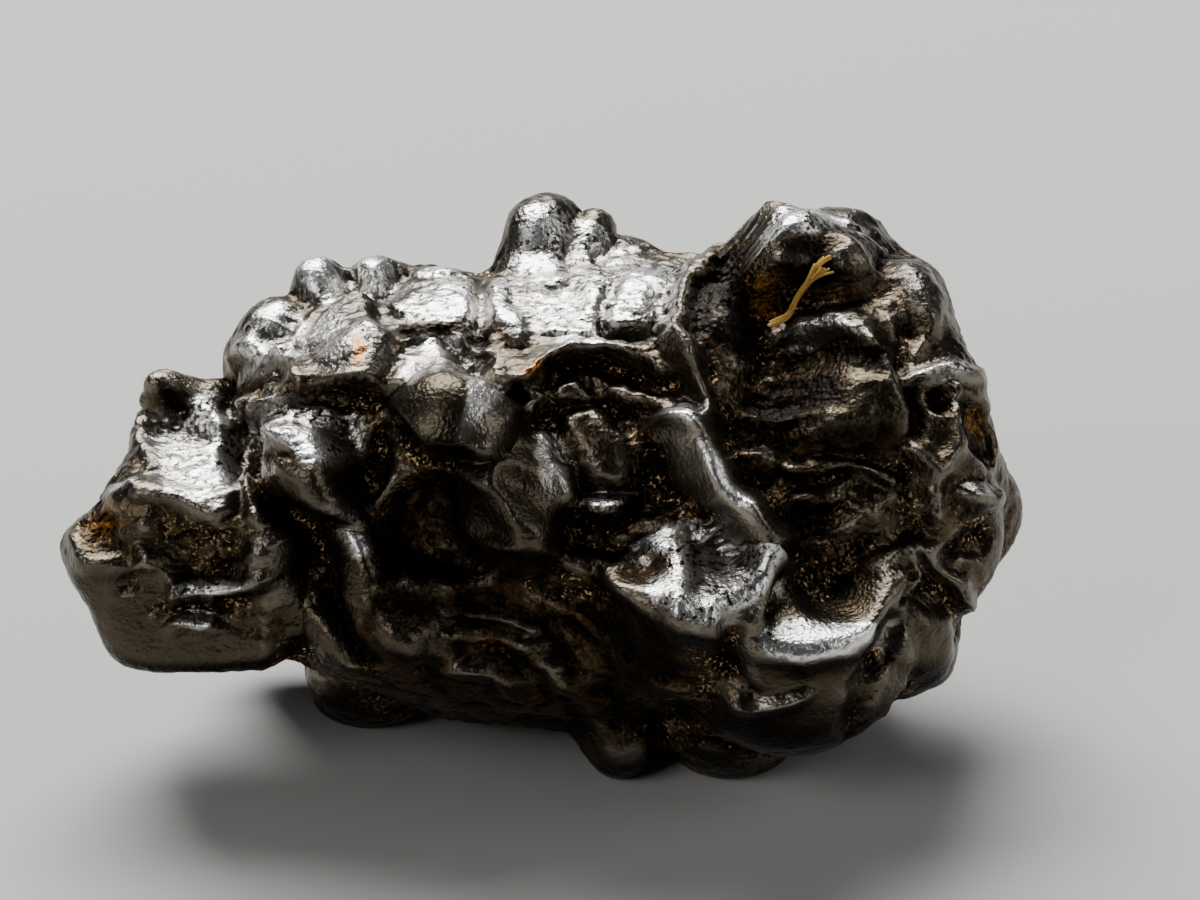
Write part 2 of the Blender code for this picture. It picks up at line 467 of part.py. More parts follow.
def shape(squares):
    """(points in millimetres on the table, quads). The bulk is raised by the face's own relief where
    it faces out, and by thumbprints and swells elsewhere, both along its normal. Where it faces out,
    that heading is drawn towards w, so that the relief lies where the face shows it."""
    rng = np.random.default_rng(SEED)
    cube_points, quads = cube_grid(squares)
    bulk = bulk_points(aims_of(cube_points))
    normal = normals_of(bulk, quads)
    facing = ease(normal[:, 2], -0.25, 0.55)[:, None]
    heading = unit(normal + np.array([0, 0, 1]) * facing)
    bent_u, bent_v = (bulk[:, k] + waves(bulk, rng, *WANDER) + waves(bulk, rng, *TREMBLE) for k in (0, 1))
    face = face_relief(bent_u, bent_v)[:, None]
    other = (thumbprints(bulk, rng) + waves(bulk, rng, *SWELL))[:, None]
    other *= ease(to_table(bulk)[:, 2:], *FOOT_ZONE)
    rough = bulk + heading * (face * facing + other * (1 - facing))
    points = to_table(worn(rough, quads))
    points[:, 2] = np.maximum(points[:, 2], 0)
    return points, quads


def iron_material():
    material = bpy.data.materials.new("worn nickel-iron")
    material.use_nodes = True
    shader = material.node_tree.nodes["Principled BSDF"]
    shader.inputs["Base Color"].default_value = IRON_COLOR
    shader.inputs["Metallic"].default_value = 1
    shader.inputs["Roughness"].default_value = IRON_ROUGHNESS
    return material


def make_meteorite():
    """The nugget as one object. Its squares are cut into triangles here, because a square whose
    corners don't lie in one plane has no one true surface."""
    points, quads = shape(GRID)
    triangles = np.concatenate([quads[:, [0, 1, 2]], quads[:, [0, 2, 3]]])
    mesh = bpy.data.meshes.new("meteorite")
    mesh.from_pydata((points * MM).tolist(), [], triangles.tolist())
    mesh.materials.append(iron_material())
    mesh.shade_smooth()
    obj = bpy.data.objects.new("meteorite", mesh)
    bpy.context.scene.collection.objects.link(obj)
    thin = obj.modifiers.new("fewer triangles", "DECIMATE")
    thin.ratio = TRIANGLES / len(triangles)
    return obj


for old in list(bpy.data.objects):
    bpy.data.objects.remove(old)
make_meteorite()
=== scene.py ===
# %% [markdown]
# # An iron meteorite
#
# The object is a nugget of nickel-iron, about as long as a thumb joint. It broke off a larger mass
# in flight, melted and tore into lumps, ridges and deep hollows, and then lay in the ground.
# Cleaned, its ridges and flat tops are worn bright, and its hollows keep a dark brown oxide.
#
# The frame holds the nugget as one plain solid. This script gives it its real surface: one closed
# sheet of points, worked out as arrays, with the small relief and the wear that the solid lacks.

# %% Load the frame
import math

import bpy
import numpy as np
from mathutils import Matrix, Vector


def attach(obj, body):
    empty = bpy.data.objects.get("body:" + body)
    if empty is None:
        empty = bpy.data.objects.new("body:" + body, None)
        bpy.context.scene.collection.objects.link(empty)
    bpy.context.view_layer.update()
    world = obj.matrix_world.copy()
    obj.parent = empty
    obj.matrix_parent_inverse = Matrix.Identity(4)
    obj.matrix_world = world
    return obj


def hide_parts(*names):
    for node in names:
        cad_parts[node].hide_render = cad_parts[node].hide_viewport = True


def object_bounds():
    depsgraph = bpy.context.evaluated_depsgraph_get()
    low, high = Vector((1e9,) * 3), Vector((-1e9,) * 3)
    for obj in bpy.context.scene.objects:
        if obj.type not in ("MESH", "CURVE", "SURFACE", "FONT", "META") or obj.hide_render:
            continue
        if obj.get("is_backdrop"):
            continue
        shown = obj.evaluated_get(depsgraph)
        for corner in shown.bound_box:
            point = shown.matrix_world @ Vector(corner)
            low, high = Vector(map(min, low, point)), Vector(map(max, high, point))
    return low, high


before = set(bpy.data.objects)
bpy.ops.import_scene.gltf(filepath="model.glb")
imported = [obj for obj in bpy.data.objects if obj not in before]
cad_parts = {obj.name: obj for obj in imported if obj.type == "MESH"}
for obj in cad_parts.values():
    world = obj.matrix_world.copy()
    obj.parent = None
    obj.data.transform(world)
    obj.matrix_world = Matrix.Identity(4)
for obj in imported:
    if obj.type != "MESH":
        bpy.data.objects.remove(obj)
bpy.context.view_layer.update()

MM = 0.001  # metres in a millimetre

# %% [markdown]
# ## The view
#
# The nugget is looked at from the front and from 30 degrees above the table. A near camera would
# swell what is closest to it, so this one stands far away and has a long lens.

# %% Camera
CAMERA_HEIGHT = math.radians(30)  # angle above the table
CAMERA_DISTANCE = 300 * MM
PICTURE_WIDTH = 1200  # in pixels
PIXELS_PER_MM = 28  # at the nugget
FRAME_WIDTH = PICTURE_WIDTH / PIXELS_PER_MM * MM  # how wide a strip of the world is seen there
SENSOR_WIDTH = 36  # in millimetres, as Blender wants it
NEAREST_SEEN = 10 * MM  # what is nearer to the camera is left out


def turned_to(point, target):
    """The rotation that makes an object at a point look at a target along its own -Z."""
    return (Vector(target) - Vector(point)).to_track_quat("-Z", "Y").to_euler()


def add_camera(aim):
    """A camera CAMERA_DISTANCE away from its aim, straight in front and CAMERA_HEIGHT up."""
    away = Vector((0, -math.cos(CAMERA_HEIGHT), math.sin(CAMERA_HEIGHT)))
    data = bpy.data.cameras.new("camera")
    data.sensor_width = SENSOR_WIDTH
    data.lens = SENSOR_WIDTH * CAMERA_DISTANCE / FRAME_WIDTH
    data.clip_start = NEAREST_SEEN
    camera = bpy.data.objects.new("camera", data)
    camera.location = Vector(aim) + away * CAMERA_DISTANCE
    camera.rotation_euler = turned_to(camera.location, aim)
    bpy.context.scene.collection.objects.link(camera)
    bpy.context.scene.camera = camera
    return camera


# %% [markdown]
# ## The face frame
#
# The nugget's shape is laid out in its face frame: u runs right, v up the face, and w out of it,
# straight towards the eye. The same tilt that raises the camera lays the face back onto the table.

# %% Face frame
# Lengths are in millimetres from here on, until a mesh is made.
FACE_TILT = CAMERA_HEIGHT
TABLE = 8.3  # how far the table lies below the face frame's origin
SET_BACK = 1.15  # how far the nugget moves back, so that the table's origin is under its middle


def to_table(points):
    """Face-frame points (u, v, w) turned to lie on the table: x = u, and v and w leaned back."""
    u, v, w = points.T
    lean_sin = math.sin(FACE_TILT)
    lean_cos = math.cos(FACE_TILT)
    y = v * lean_sin - w * lean_cos + SET_BACK
    z = v * lean_cos + w * lean_sin + TABLE
    return np.stack([u, y, z], axis=1)


PICTURE_MIDDLE = np.array([[2.07, 1.32, 0.0]])  # (u, v, w) in the middle of the picture
aim = to_table(PICTURE_MIDDLE)[0] * MM
camera = add_camera(aim.tolist())
camera_at = [round(value / MM) for value in camera.location]
print("camera at, mm:", camera_at, "lens, mm:", round(camera.data.lens))

# %% [markdown]
# ## The bulk
#
# Under its relief, the nugget is a few big lumps that melted together. It could be carved by sculpt
# brushes, but then no number would say where a lump lies. Here convex blocks and rounded masses are
# grown together. A block is given by its sides: along a ray, a side is met at
# distance / (aim . normal), and a power mean of all the sides rounds the block's edges. Each mass
# is an ellipsoid. Because every point is told by how far out it lies along its own ray, the whole
# bulk is one closed sheet with no seams to join. The rays start from a spine inside the nugget,
# which is long, so that they meet its two ends as squarely as its middle.

# %% Blocks and masses
SPINE = np.array([8.0, 1.2, -0.8])  # from the middle of the nugget to the right end of its spine
# Each block has a sharpness, which is higher for crisper edges, and sides: the outward normal
# (u, v, w) and the distance from the face frame's origin.
BLOCKS = {
    "trunk": (9, {
        "plateau": ((0, 0.87, 0.50), 7.5),
        "upper front": ((0, 0.48, 0.88), 7.8),
        "lower front": ((0, -0.18, 0.98), 8.1),
        "toe": ((0.04, -0.82, 0.58), 9.1),
        "sole edge": ((-0.14, -1, 0), 8.4),
        "underside": ((0, -0.87, -0.50), 8.1),
        "brow": ((-0.06, 1, -0.10), 8.6),
        "heel": ((0, -0.12, -0.99), 8.6),
        "back": ((0, 0.50, -0.87), 8.9),
        "right": ((0.92, 0.40, 0), 16.4),
        "right low": ((0.68, -0.74, 0), 13.4),
        "right front": ((0.71, 0, 0.71), 12.6),
        "right back": ((0.71, 0, -0.71), 12.2),
        "left": ((-1, 0, 0), 11.4),
        "left high": ((-0.76, 0.65, 0), 10.6),
        "left low": ((-0.60, -0.80, 0), 10.6),
        "left front": ((-0.60, 0, 0.80), 9.0),
        "left back": ((-0.64, 0, -0.77), 10.2),
    }),
    "lobe": (14, {
        "shelf": ((0, 0.87, 0.50), 2.45),
        "front": ((-0.15, -0.25, 0.95), 8.2),
        "left front": ((-0.80, 0, 0.60), 15.6),
        "left": ((-1, 0, -0.10), 16.7),
        "upper left": ((-0.80, 0.57, 0.15), 13.1),
        "lower left": ((-0.84, -0.55, 0.10), 16.7),
        "bottom": ((0.05, -1, 0), 6.15),
        "underside": ((0, -0.60, -0.80), 3.5),
        "back left": ((-0.70, 0, -0.70), 10.9),
        "back": ((-0.10, 0, -1), 2.8),
        "right": ((1, 0, 0), -9.6),
    }),
    "shelf": (14, {
        "top": ((0, 0.87, 0.50), 2.8),
        "left": ((-1, 0, 0), 14.7),
        "front": ((0, -0.25, 0.97), 6.0),
        "bottom": ((0, -1, 0), 3.0),
        "back left": ((-0.70, 0, -0.70), 11.0),
        "back": ((0, 0, -1), 0.8),
        "right": ((1, 0, 0), -9.6),
    }),
    "left step": (14, {
        "top": ((0, 0.77, 0.64), 6.3),
        "front": ((-0.25, -0.25, 0.93), 9.5),
        "left": ((-0.95, 0, 0.30), 11.3),
        "right": ((0.80, 0.30, 0.50), -1.9),
        "bottom": ((-0.30, -0.95, 0.15), 4.0),
        "upper": ((0, 1, 0), 4.0),
        "far left": ((-1, 0, 0), 10.3),
        "back": ((0, 0, -1), -3.5),
    }),
    "boulder": (14, {
        "left": ((-0.60, 0.40, 0.70), 10.7),
        "right": ((0.65, 0.30, 0.70), 2.8),
        "left edge": ((-0.69, 0.72, 0), 9.3),
        "right edge": ((0.75, 0.66, 0), 0.0),
        "bottom": ((0, -0.90, 0.43), -0.3),
        "top": ((0, 0.87, 0.50), 8.4),
        "far left": ((-1, 0.20, -0.10), 9.6),
        "back": ((0, 0.50, -0.87), 1.2),
    }),
    "front knob": (11, {
        "top": ((0, 0.97, 0.24), 6.75),
        "cap": ((0, 1, 0), 5.2),
        "right": ((0.60, 0.50, 0.62), 6.0),
        "left": ((-0.70, 0.40, 0.59), 9.55),
        "front": ((0, -0.35, 0.94), 8.4),
        "bottom": ((0, -1, 0.15), 0.1),
        "upper right": ((0.61, 0.79, 0), 1.85),
        "lower right": ((0.74, -0.67, 0), -2.3),
        "lower left": ((-0.79, -0.62, 0), 2.6),
        "upper left": ((-0.74, 0.68, 0), 6.55),
        "back": ((0, 0, -1), -4.0),
    }),
    "web": (14, {
        "top": ((0, 0.74, 0.67), 3.5),
        "front": ((0, -0.10, 1), 10.5),
        "left": ((-0.90, 0.20, 0.35), 0.1),
        "lower left": ((-0.70, -0.60, 0.50), 4.5),
        "lower right": ((0.20, -0.75, 0.63), 11.2),
        "bottom": ((0, -1, 0.1), 8.2),
        "right": ((1, 0, 0), 8.2),
        "back": ((0, 0, -1), -2.0),
    }),
    "low rim": (12, {
        "top": ((0, 0.74, 0.67), 2.1),
        "front": ((0, -0.10, 1), 9.9),
        "bottom": ((0, -0.70, 0.71), 11.1),
        "left": ((-0.90, 0, 0.40), -3.0),
        "foot": ((0, -1, 0.1), 9.6),
        "right front": ((0.75, -0.30, 0.60), 15.6),
        "right": ((1, -0.2, 0), 13.2),
        "lower right": ((0.70, -0.70, 0), 12.6),
        "back": ((0, 0, -1), -2.0),
    }),
    "crest": (12, {
        "top": ((0, 0.85, 0.53), 10.05),
        "cap": ((0, 1, 0), 11.5),
        "front": ((0, -0.10, 1), 2.8),
        "left": ((-0.90, 0.30, 0.30), -3.6),
        "upper right": ((0.75, 0.60, 0.25), 14.45),
        "right": ((1, 0, 0), 13.0),
        "bottom": ((0, -1, 0.15), -6.7),
        "back": ((0, 0.60, -0.80), 5.8),
    }),
}
# Each mass is an ellipsoid: centre (u, v, w), half lengths (u, v, w).
MASSES = {
    "right low bulge": ((12.3, -4.4, 0.8), (2.75, 3.4, 4.0)),
    "right rim": ((13.6, 0.7, 0.6), (2.85, 5.0, 4.6)),
    "right knuckle": ((14.0, -1.7, 0.6), (2.8, 3.2, 3.6)),
    "belly": ((8.6, -5.6, 3.6), (4.4, 4.2, 4.4)),
    "right shoulder": ((12.7, 5.9, -0.3), (1.8, 2.2, 3.0)),
    "crest back": ((9.9, 7.3, -1.4), (2.8, 2.5, 3.6)),
    "lobe tip": ((-15.2, -2.5, 2.8), (1.85, 2.0, 2.6)),
    "ear": ((-13.45, 3.25, 0.9), (0.95, 0.85, 1.2)),
    "left shoulder": ((-9.5, 4.8, 0.3), (1.7, 2.2, 2.6)),
    "left head": ((-8.0, 7.2, -1.2), (1.3, 1.35, 2.5)),
    "middle head": ((-5.9, 7.6, -0.8), (1.1, 0.75, 2.2)),
    "strip head": ((-3.8, 7.2, -1.6), (1.5, 0.9, 2.6)),
    "top knob": ((-0.2, 9.1, -2.4), (1.5, 1.4, 2.2)),
    "top bead": ((1.6, 8.7, -2.0), (0.8, 0.9, 1.3)),
    "back crest": ((2.5, 7.8, -3.0), (2.2, 0.9, 2.2)),
    "front foot": ((2.8, -8.9, 1.2), (1.4, 1.5, 1.9)),
    "right foot": ((6.7, -8.4, 0.9), (2.6, 2.0, 2.7)),
    "back foot": ((-3.5, -2.8, -5.4), (3.8, 3.7, 3.5)),
    "back right foot": ((8.5, -2.7, -5.6), (3.6, 3.7, 3.6)),
    "neck": ((-9.6, -1.6, 3.4), (1.9, 2.4, 2.4)),
    "left foot": ((-6.2, -6.2, -2.0), (2.8, 2.5, 3.0)),
}
MASS_BLEND = 0.6  # width of the rounded crease between two masses
MISS = 2  # how far a ray's distance falls for each millimetre that it misses a block by
NEARLY_LEVEL = 1e-9  # a ray slower than this towards a side never leaves through it
LEAST = 1e-3  # keeps what is divided by from being zero


def unit(vectors):
    """Each vector divided by its own length."""
    return vectors / np.linalg.norm(vectors, axis=-1, keepdims=True)


def ease(x, low, high):
    """0 below low, 1 above high, and an S-curve between: t * t * (3 - 2 t)."""
    t = np.clip((x - low) / (high - low), 0, 1)
    return t * t * (3 - 2 * t)


def smooth_max(a, b, width):
    """The larger of two distances, with the crease between them rounded over the given width."""
    near = np.clip(width - np.abs(a - b), 0, None) / width
    return np.maximum(a, b) + near * near * width / 4


def starts_of(aims):
    """Where each ray starts: as far along the spine as its aim leans towards the spine's end."""
    return aims[:, :1] * SPINE


def block_reach(starts, aims, sharpness, sides):
    """How far out each ray leaves a block: the power mean of its distances to the sides that it
    runs out through. A ray that passes the block by gets that less MISS times how far it misses.
    """
    closeness = np.zeros(len(aims))
    entry = np.zeros(len(aims))
    for normal, distance in sides.values():
        normal = unit(np.array(normal, dtype=float))
        speed = aims @ normal
        ahead = distance - starts @ normal
        outward = speed > NEARLY_LEVEL
        share = np.where(outward, speed / np.maximum(ahead, LEAST), 0)
        closeness += share**sharpness
        into = np.where(~outward & (ahead < 0), ahead / np.minimum(speed, -LEAST), 0)
        entry = np.maximum(entry, into)
    leave = closeness ** (-1 / sharpness)
    return leave - MISS * np.clip(entry - leave, 0, None)


def ellipsoid_reach(starts, aims, centre, halves):
    """How far out each ray leaves an ellipsoid: the larger root of its quadratic. A ray that misses
    gets the distance of its nearest pass, less how badly it misses."""
    a_aim = aims / halves
    a_centre = (np.array(centre) - starts) / halves
    a = (a_aim**2).sum(axis=1)
    b = (a_aim * a_centre).sum(axis=1)
    c = (a_centre**2).sum(axis=1) - 1
    inside = b * b - a * c
    return (b + np.sign(inside) * np.sqrt(np.abs(inside))) / a


def bulk_points(aims):
    """Points on the rounded union of all blocks and masses, one along each aim's ray."""
    starts = starts_of(aims)
    reach = np.zeros(len(aims))
    for sharpness, sides in BLOCKS.values():
        reach = smooth_max(reach, block_reach(starts, aims, sharpness, sides), MASS_BLEND)
    for centre, halves in MASSES.values():
        reach = smooth_max(reach, ellipsoid_reach(starts, aims, centre, halves), MASS_BLEND)
    return starts + aims * reach[:, None]


print("bulk:", len(BLOCKS), "blocks and", len(MASSES), "masses")

# %% [markdown]
# ## The sheet
#
# The points of the sheet could lie like those of a globe, but they would crowd at its poles. Six
# square grids, the sides of a cube blown up to a ball, have no poles and are nearly even all over.
# They are drawn a little towards the face, whose relief is the richest.

# %% Cube grid
SQUARES = 128  # along each edge of the cube: 6 * 128 * 128 squares make 196,608 triangles
FACE_BIAS = 0.25  # how far the grid is drawn towards the face
KEY_SCALE = 1e6  # points that are the same when counted in millionths are made one


def cube_grid(squares):
    """A cube's surface as (points, quads): six square grids, with the points that neighbouring
    sides share made one. Rows are spaced by tan, so that the blown-up squares stay even."""
    steps = np.tan(np.linspace(-1, 1, squares + 1) * math.pi / 4)
    s, t = (g.ravel() for g in np.meshgrid(steps, steps, indexing="ij"))
    one = np.ones_like(s)
    sides = [(one, s, t), (-one, t, s), (t, one, s), (s, -one, t), (s, t, one), (t, s, -one)]
    points = np.concatenate([np.stack(side, axis=1) for side in sides])
    index = np.arange((squares + 1) ** 2).reshape(squares + 1, squares + 1)
    corners = [index[:-1, :-1], index[1:, :-1], index[1:, 1:], index[:-1, 1:]]
    quad = np.stack(corners, axis=-1).reshape(-1, 4)
    quads = np.concatenate([quad + k * len(s) for k in range(6)])
    keys = np.round(points * KEY_SCALE).astype(np.int64)
    _, first, shared = np.unique(keys, axis=0, return_index=True, return_inverse=True)
    return points[first], shared.reshape(-1)[quads]


def aims_of(cube_points):
    """Directions from the origin through the cube's points, drawn a little towards the face, +w."""
    return unit(unit(cube_points) + np.array([0, 0, FACE_BIAS]))


def normals_of(points, quads):
    """Unit normal at each point: the sum of its quads' area vectors."""
    a, b, c, d = (points[quads[:, k]] for k in range(4))
    area = np.cross(c - a, d - b)
    total = np.zeros_like(points)
    for k in range(4):
        np.add.at(total, quads[:, k], area)
    return unit(total)


cube_points, quads = cube_grid(SQUARES)
aims = aims_of(cube_points)
bulk = bulk_points(aims)
bulk_normals = normals_of(bulk, quads)
print("sheet:", len(bulk), "points,", len(quads) * 2, "triangles")

# %% [markdown]
# ## The relief of the face
#
# What the eye knows the nugget by: its lumps, hollows, ledges and ridges. Random noise would give
# some rough surface, but not this one, so each form is one stroke, placed in millimetres over the
# face (u, v). A dab is a round lump or hollow, and a line is a ridge or groove.

# %% Strokes
# Dabs are round lumps (height > 0) and hollows (height < 0): centre (u, v), half lengths, turn in
# degrees, height, and squareness, 1 for a dome and 4 for a flat top with steep sides.
DABS = {
    "lobe tip pit": ((-15.6, -1.6), (0.8, 0.9), 0, -0.4, 1),
    "lobe tip hump": ((-15.0, -0.2), (0.7, 0.9), 0, 0.3, 1),
    "lobe hollow": ((-11.9, -2.2), (2.1, 1.4), -8, -0.5, 2),
    "lobe bead 1": ((-13.7, -1.4), (0.4, 0.35), 0, 0.25, 1),
    "lobe bead 2": ((-13.8, -2.2), (0.4, 0.3), 0, 0.3, 1),
    "lobe cheek dent": ((-14.6, -3.3), (0.5, 0.5), 0, -0.25, 1),
    "lobe low pit": ((-12.0, -4.5), (1.6, 0.5), 0, -0.25, 2),
    "shelf rise": ((-11.9, 1.1), (1.2, 0.5), 15, 0.2, 1),
    "ear": ((-13.4, 3.7), (1.0, 0.4), -12, 0.5, 2),
    "ear's hollow": ((-13.0, 3.0), (0.6, 0.4), -12, -0.5, 2),
    "neck notch": ((-9.0, -1.3), (0.7, 0.8), -30, -0.35, 2),
    "step pit": ((-8.9, 0.7), (0.45, 0.3), 0, -0.3, 1),
    "step floor": ((-8.4, 2.3), (1.3, 0.7), -20, -0.1, 3),
    "shoulder dimple": ((-9.7, 5.5), (1.0, 0.7), 25, -0.2, 2),
    "shoulder wrinkle": ((-9.9, 5.7), (0.9, 0.25), -25, 0.4, 1),
    "under the boulder": ((-6.9, 3.2), (1.4, 0.45), -12, -0.5, 2),
    "boulder pit": ((-6.6, 5.1), (0.5, 0.8), 15, -0.12, 1),
    "beside the knob": ((-6.0, 1.0), (0.8, 1.5), -25, -0.8, 2),
    "under the knob": ((-3.5, -1.4), (2.6, 2.1), 0, -1.5, 2),
    "strip slope": ((-3.3, 6.6), (1.1, 1.6), 0, 0.2, 3),
    "plateau lump 1": ((-1.2, 6.4), (0.6, 1.6), 0, 0.35, 2),
    "plateau lump 2": ((0.5, 7.5), (0.7, 0.5), 0, 0.3, 2),
    "plateau lump 3": ((2.0, 7.2), (0.6, 0.8), 0, 0.3, 2),
    "plateau lump 4": ((0.9, 5.8), (1.2, 0.4), 0, 0.25, 2),
    "plateau block": ((3.4, 6.9), (1.3, 1.1), -8, 0.45, 2),
    "plateau undercut": ((3.4, 5.8), (1.2, 0.4), -8, -0.8, 2),
    "plateau dip": ((2.4, 6.2), (0.4, 0.5), 0, -0.3, 1),
    "front middle": ((2.2, 0.5), (3.7, 3.3), 0, -1.3, 3),
    "front ledge 1": ((1.3, 3.0), (1.2, 0.45), -8, 0.8, 2),
    "front ledge 1b": ((3.4, 3.3), (1.0, 0.5), -8, 0.4, 2),
    "front plate": ((2.1, 1.5), (1.9, 1.2), -18, 1.1, 2),
    "front block": ((-0.9, -0.5), (2.3, 2.7), 20, 1.4, 2),
    "front ledge 2": ((2.5, -0.5), (1.3, 0.8), 8, 1.5, 2),
    "big cavity": ((8.9, 2.8), (3.6, 4.9), 12, -2.0, 2),
    "cavity bulge": ((11.0, 2.9), (2.2, 2.5), 0, 1.9, 1),
    "cavity inner wall": ((6.5, 5.0), (1.1, 2.2), 8, 0.8, 1),
    "crest chin 1": ((8.6, 8.2), (0.9, 0.5), -10, 0.3, 2),
    "crest chin 2": ((11.1, 8.0), (1.1, 1.0), 0, 0.5, 2),
    "low hollow": ((9.9, -2.3), (2.4, 2.2), 0, -1.2, 2),
    "rim lump": ((13.6, 6.8), (0.9, 1.6), 15, 0.6, 3),
    "rim recess": ((15.5, 1.9), (0.8, 1.3), 12, -0.9, 3),
    "rim recess 2": ((14.1, 2.9), (0.8, 0.7), 0, -0.8, 2),
    "rim knuckle": ((15.2, -0.2), (0.8, 0.6), 0, 0.8, 2),
    "rim gully": ((15.2, -1.7), (0.9, 0.6), 20, -0.6, 2),
    "rim spot": ((14.8, -3.8), (0.6, 0.5), 0, 0.35, 1),
    "above the web": ((5.6, -1.6), (2.0, 1.0), 0, -0.4, 2),
    "web pit 1": ((3.4, -2.9), (0.8, 0.6), 0, -0.5, 2),
    "web pit 3": ((6.6, -2.8), (0.7, 0.5), 0, -0.25, 2),
    "dark hollow": ((-0.8, -4.4), (4.0, 2.4), -12, -0.9, 2),
    "dark ledge": ((-4.0, -3.6), (1.2, 0.6), -8, 0.45, 2),
    "dark block": ((-4.1, -5.0), (1.2, 1.1), 0, 0.4, 2),
    "belly dent": ((6.6, -5.6), (1.0, 1.1), 0, -0.2, 1),
    "column lump": ((13.3, -5.6), (1.3, 1.6), 10, 0.5, 3),
}
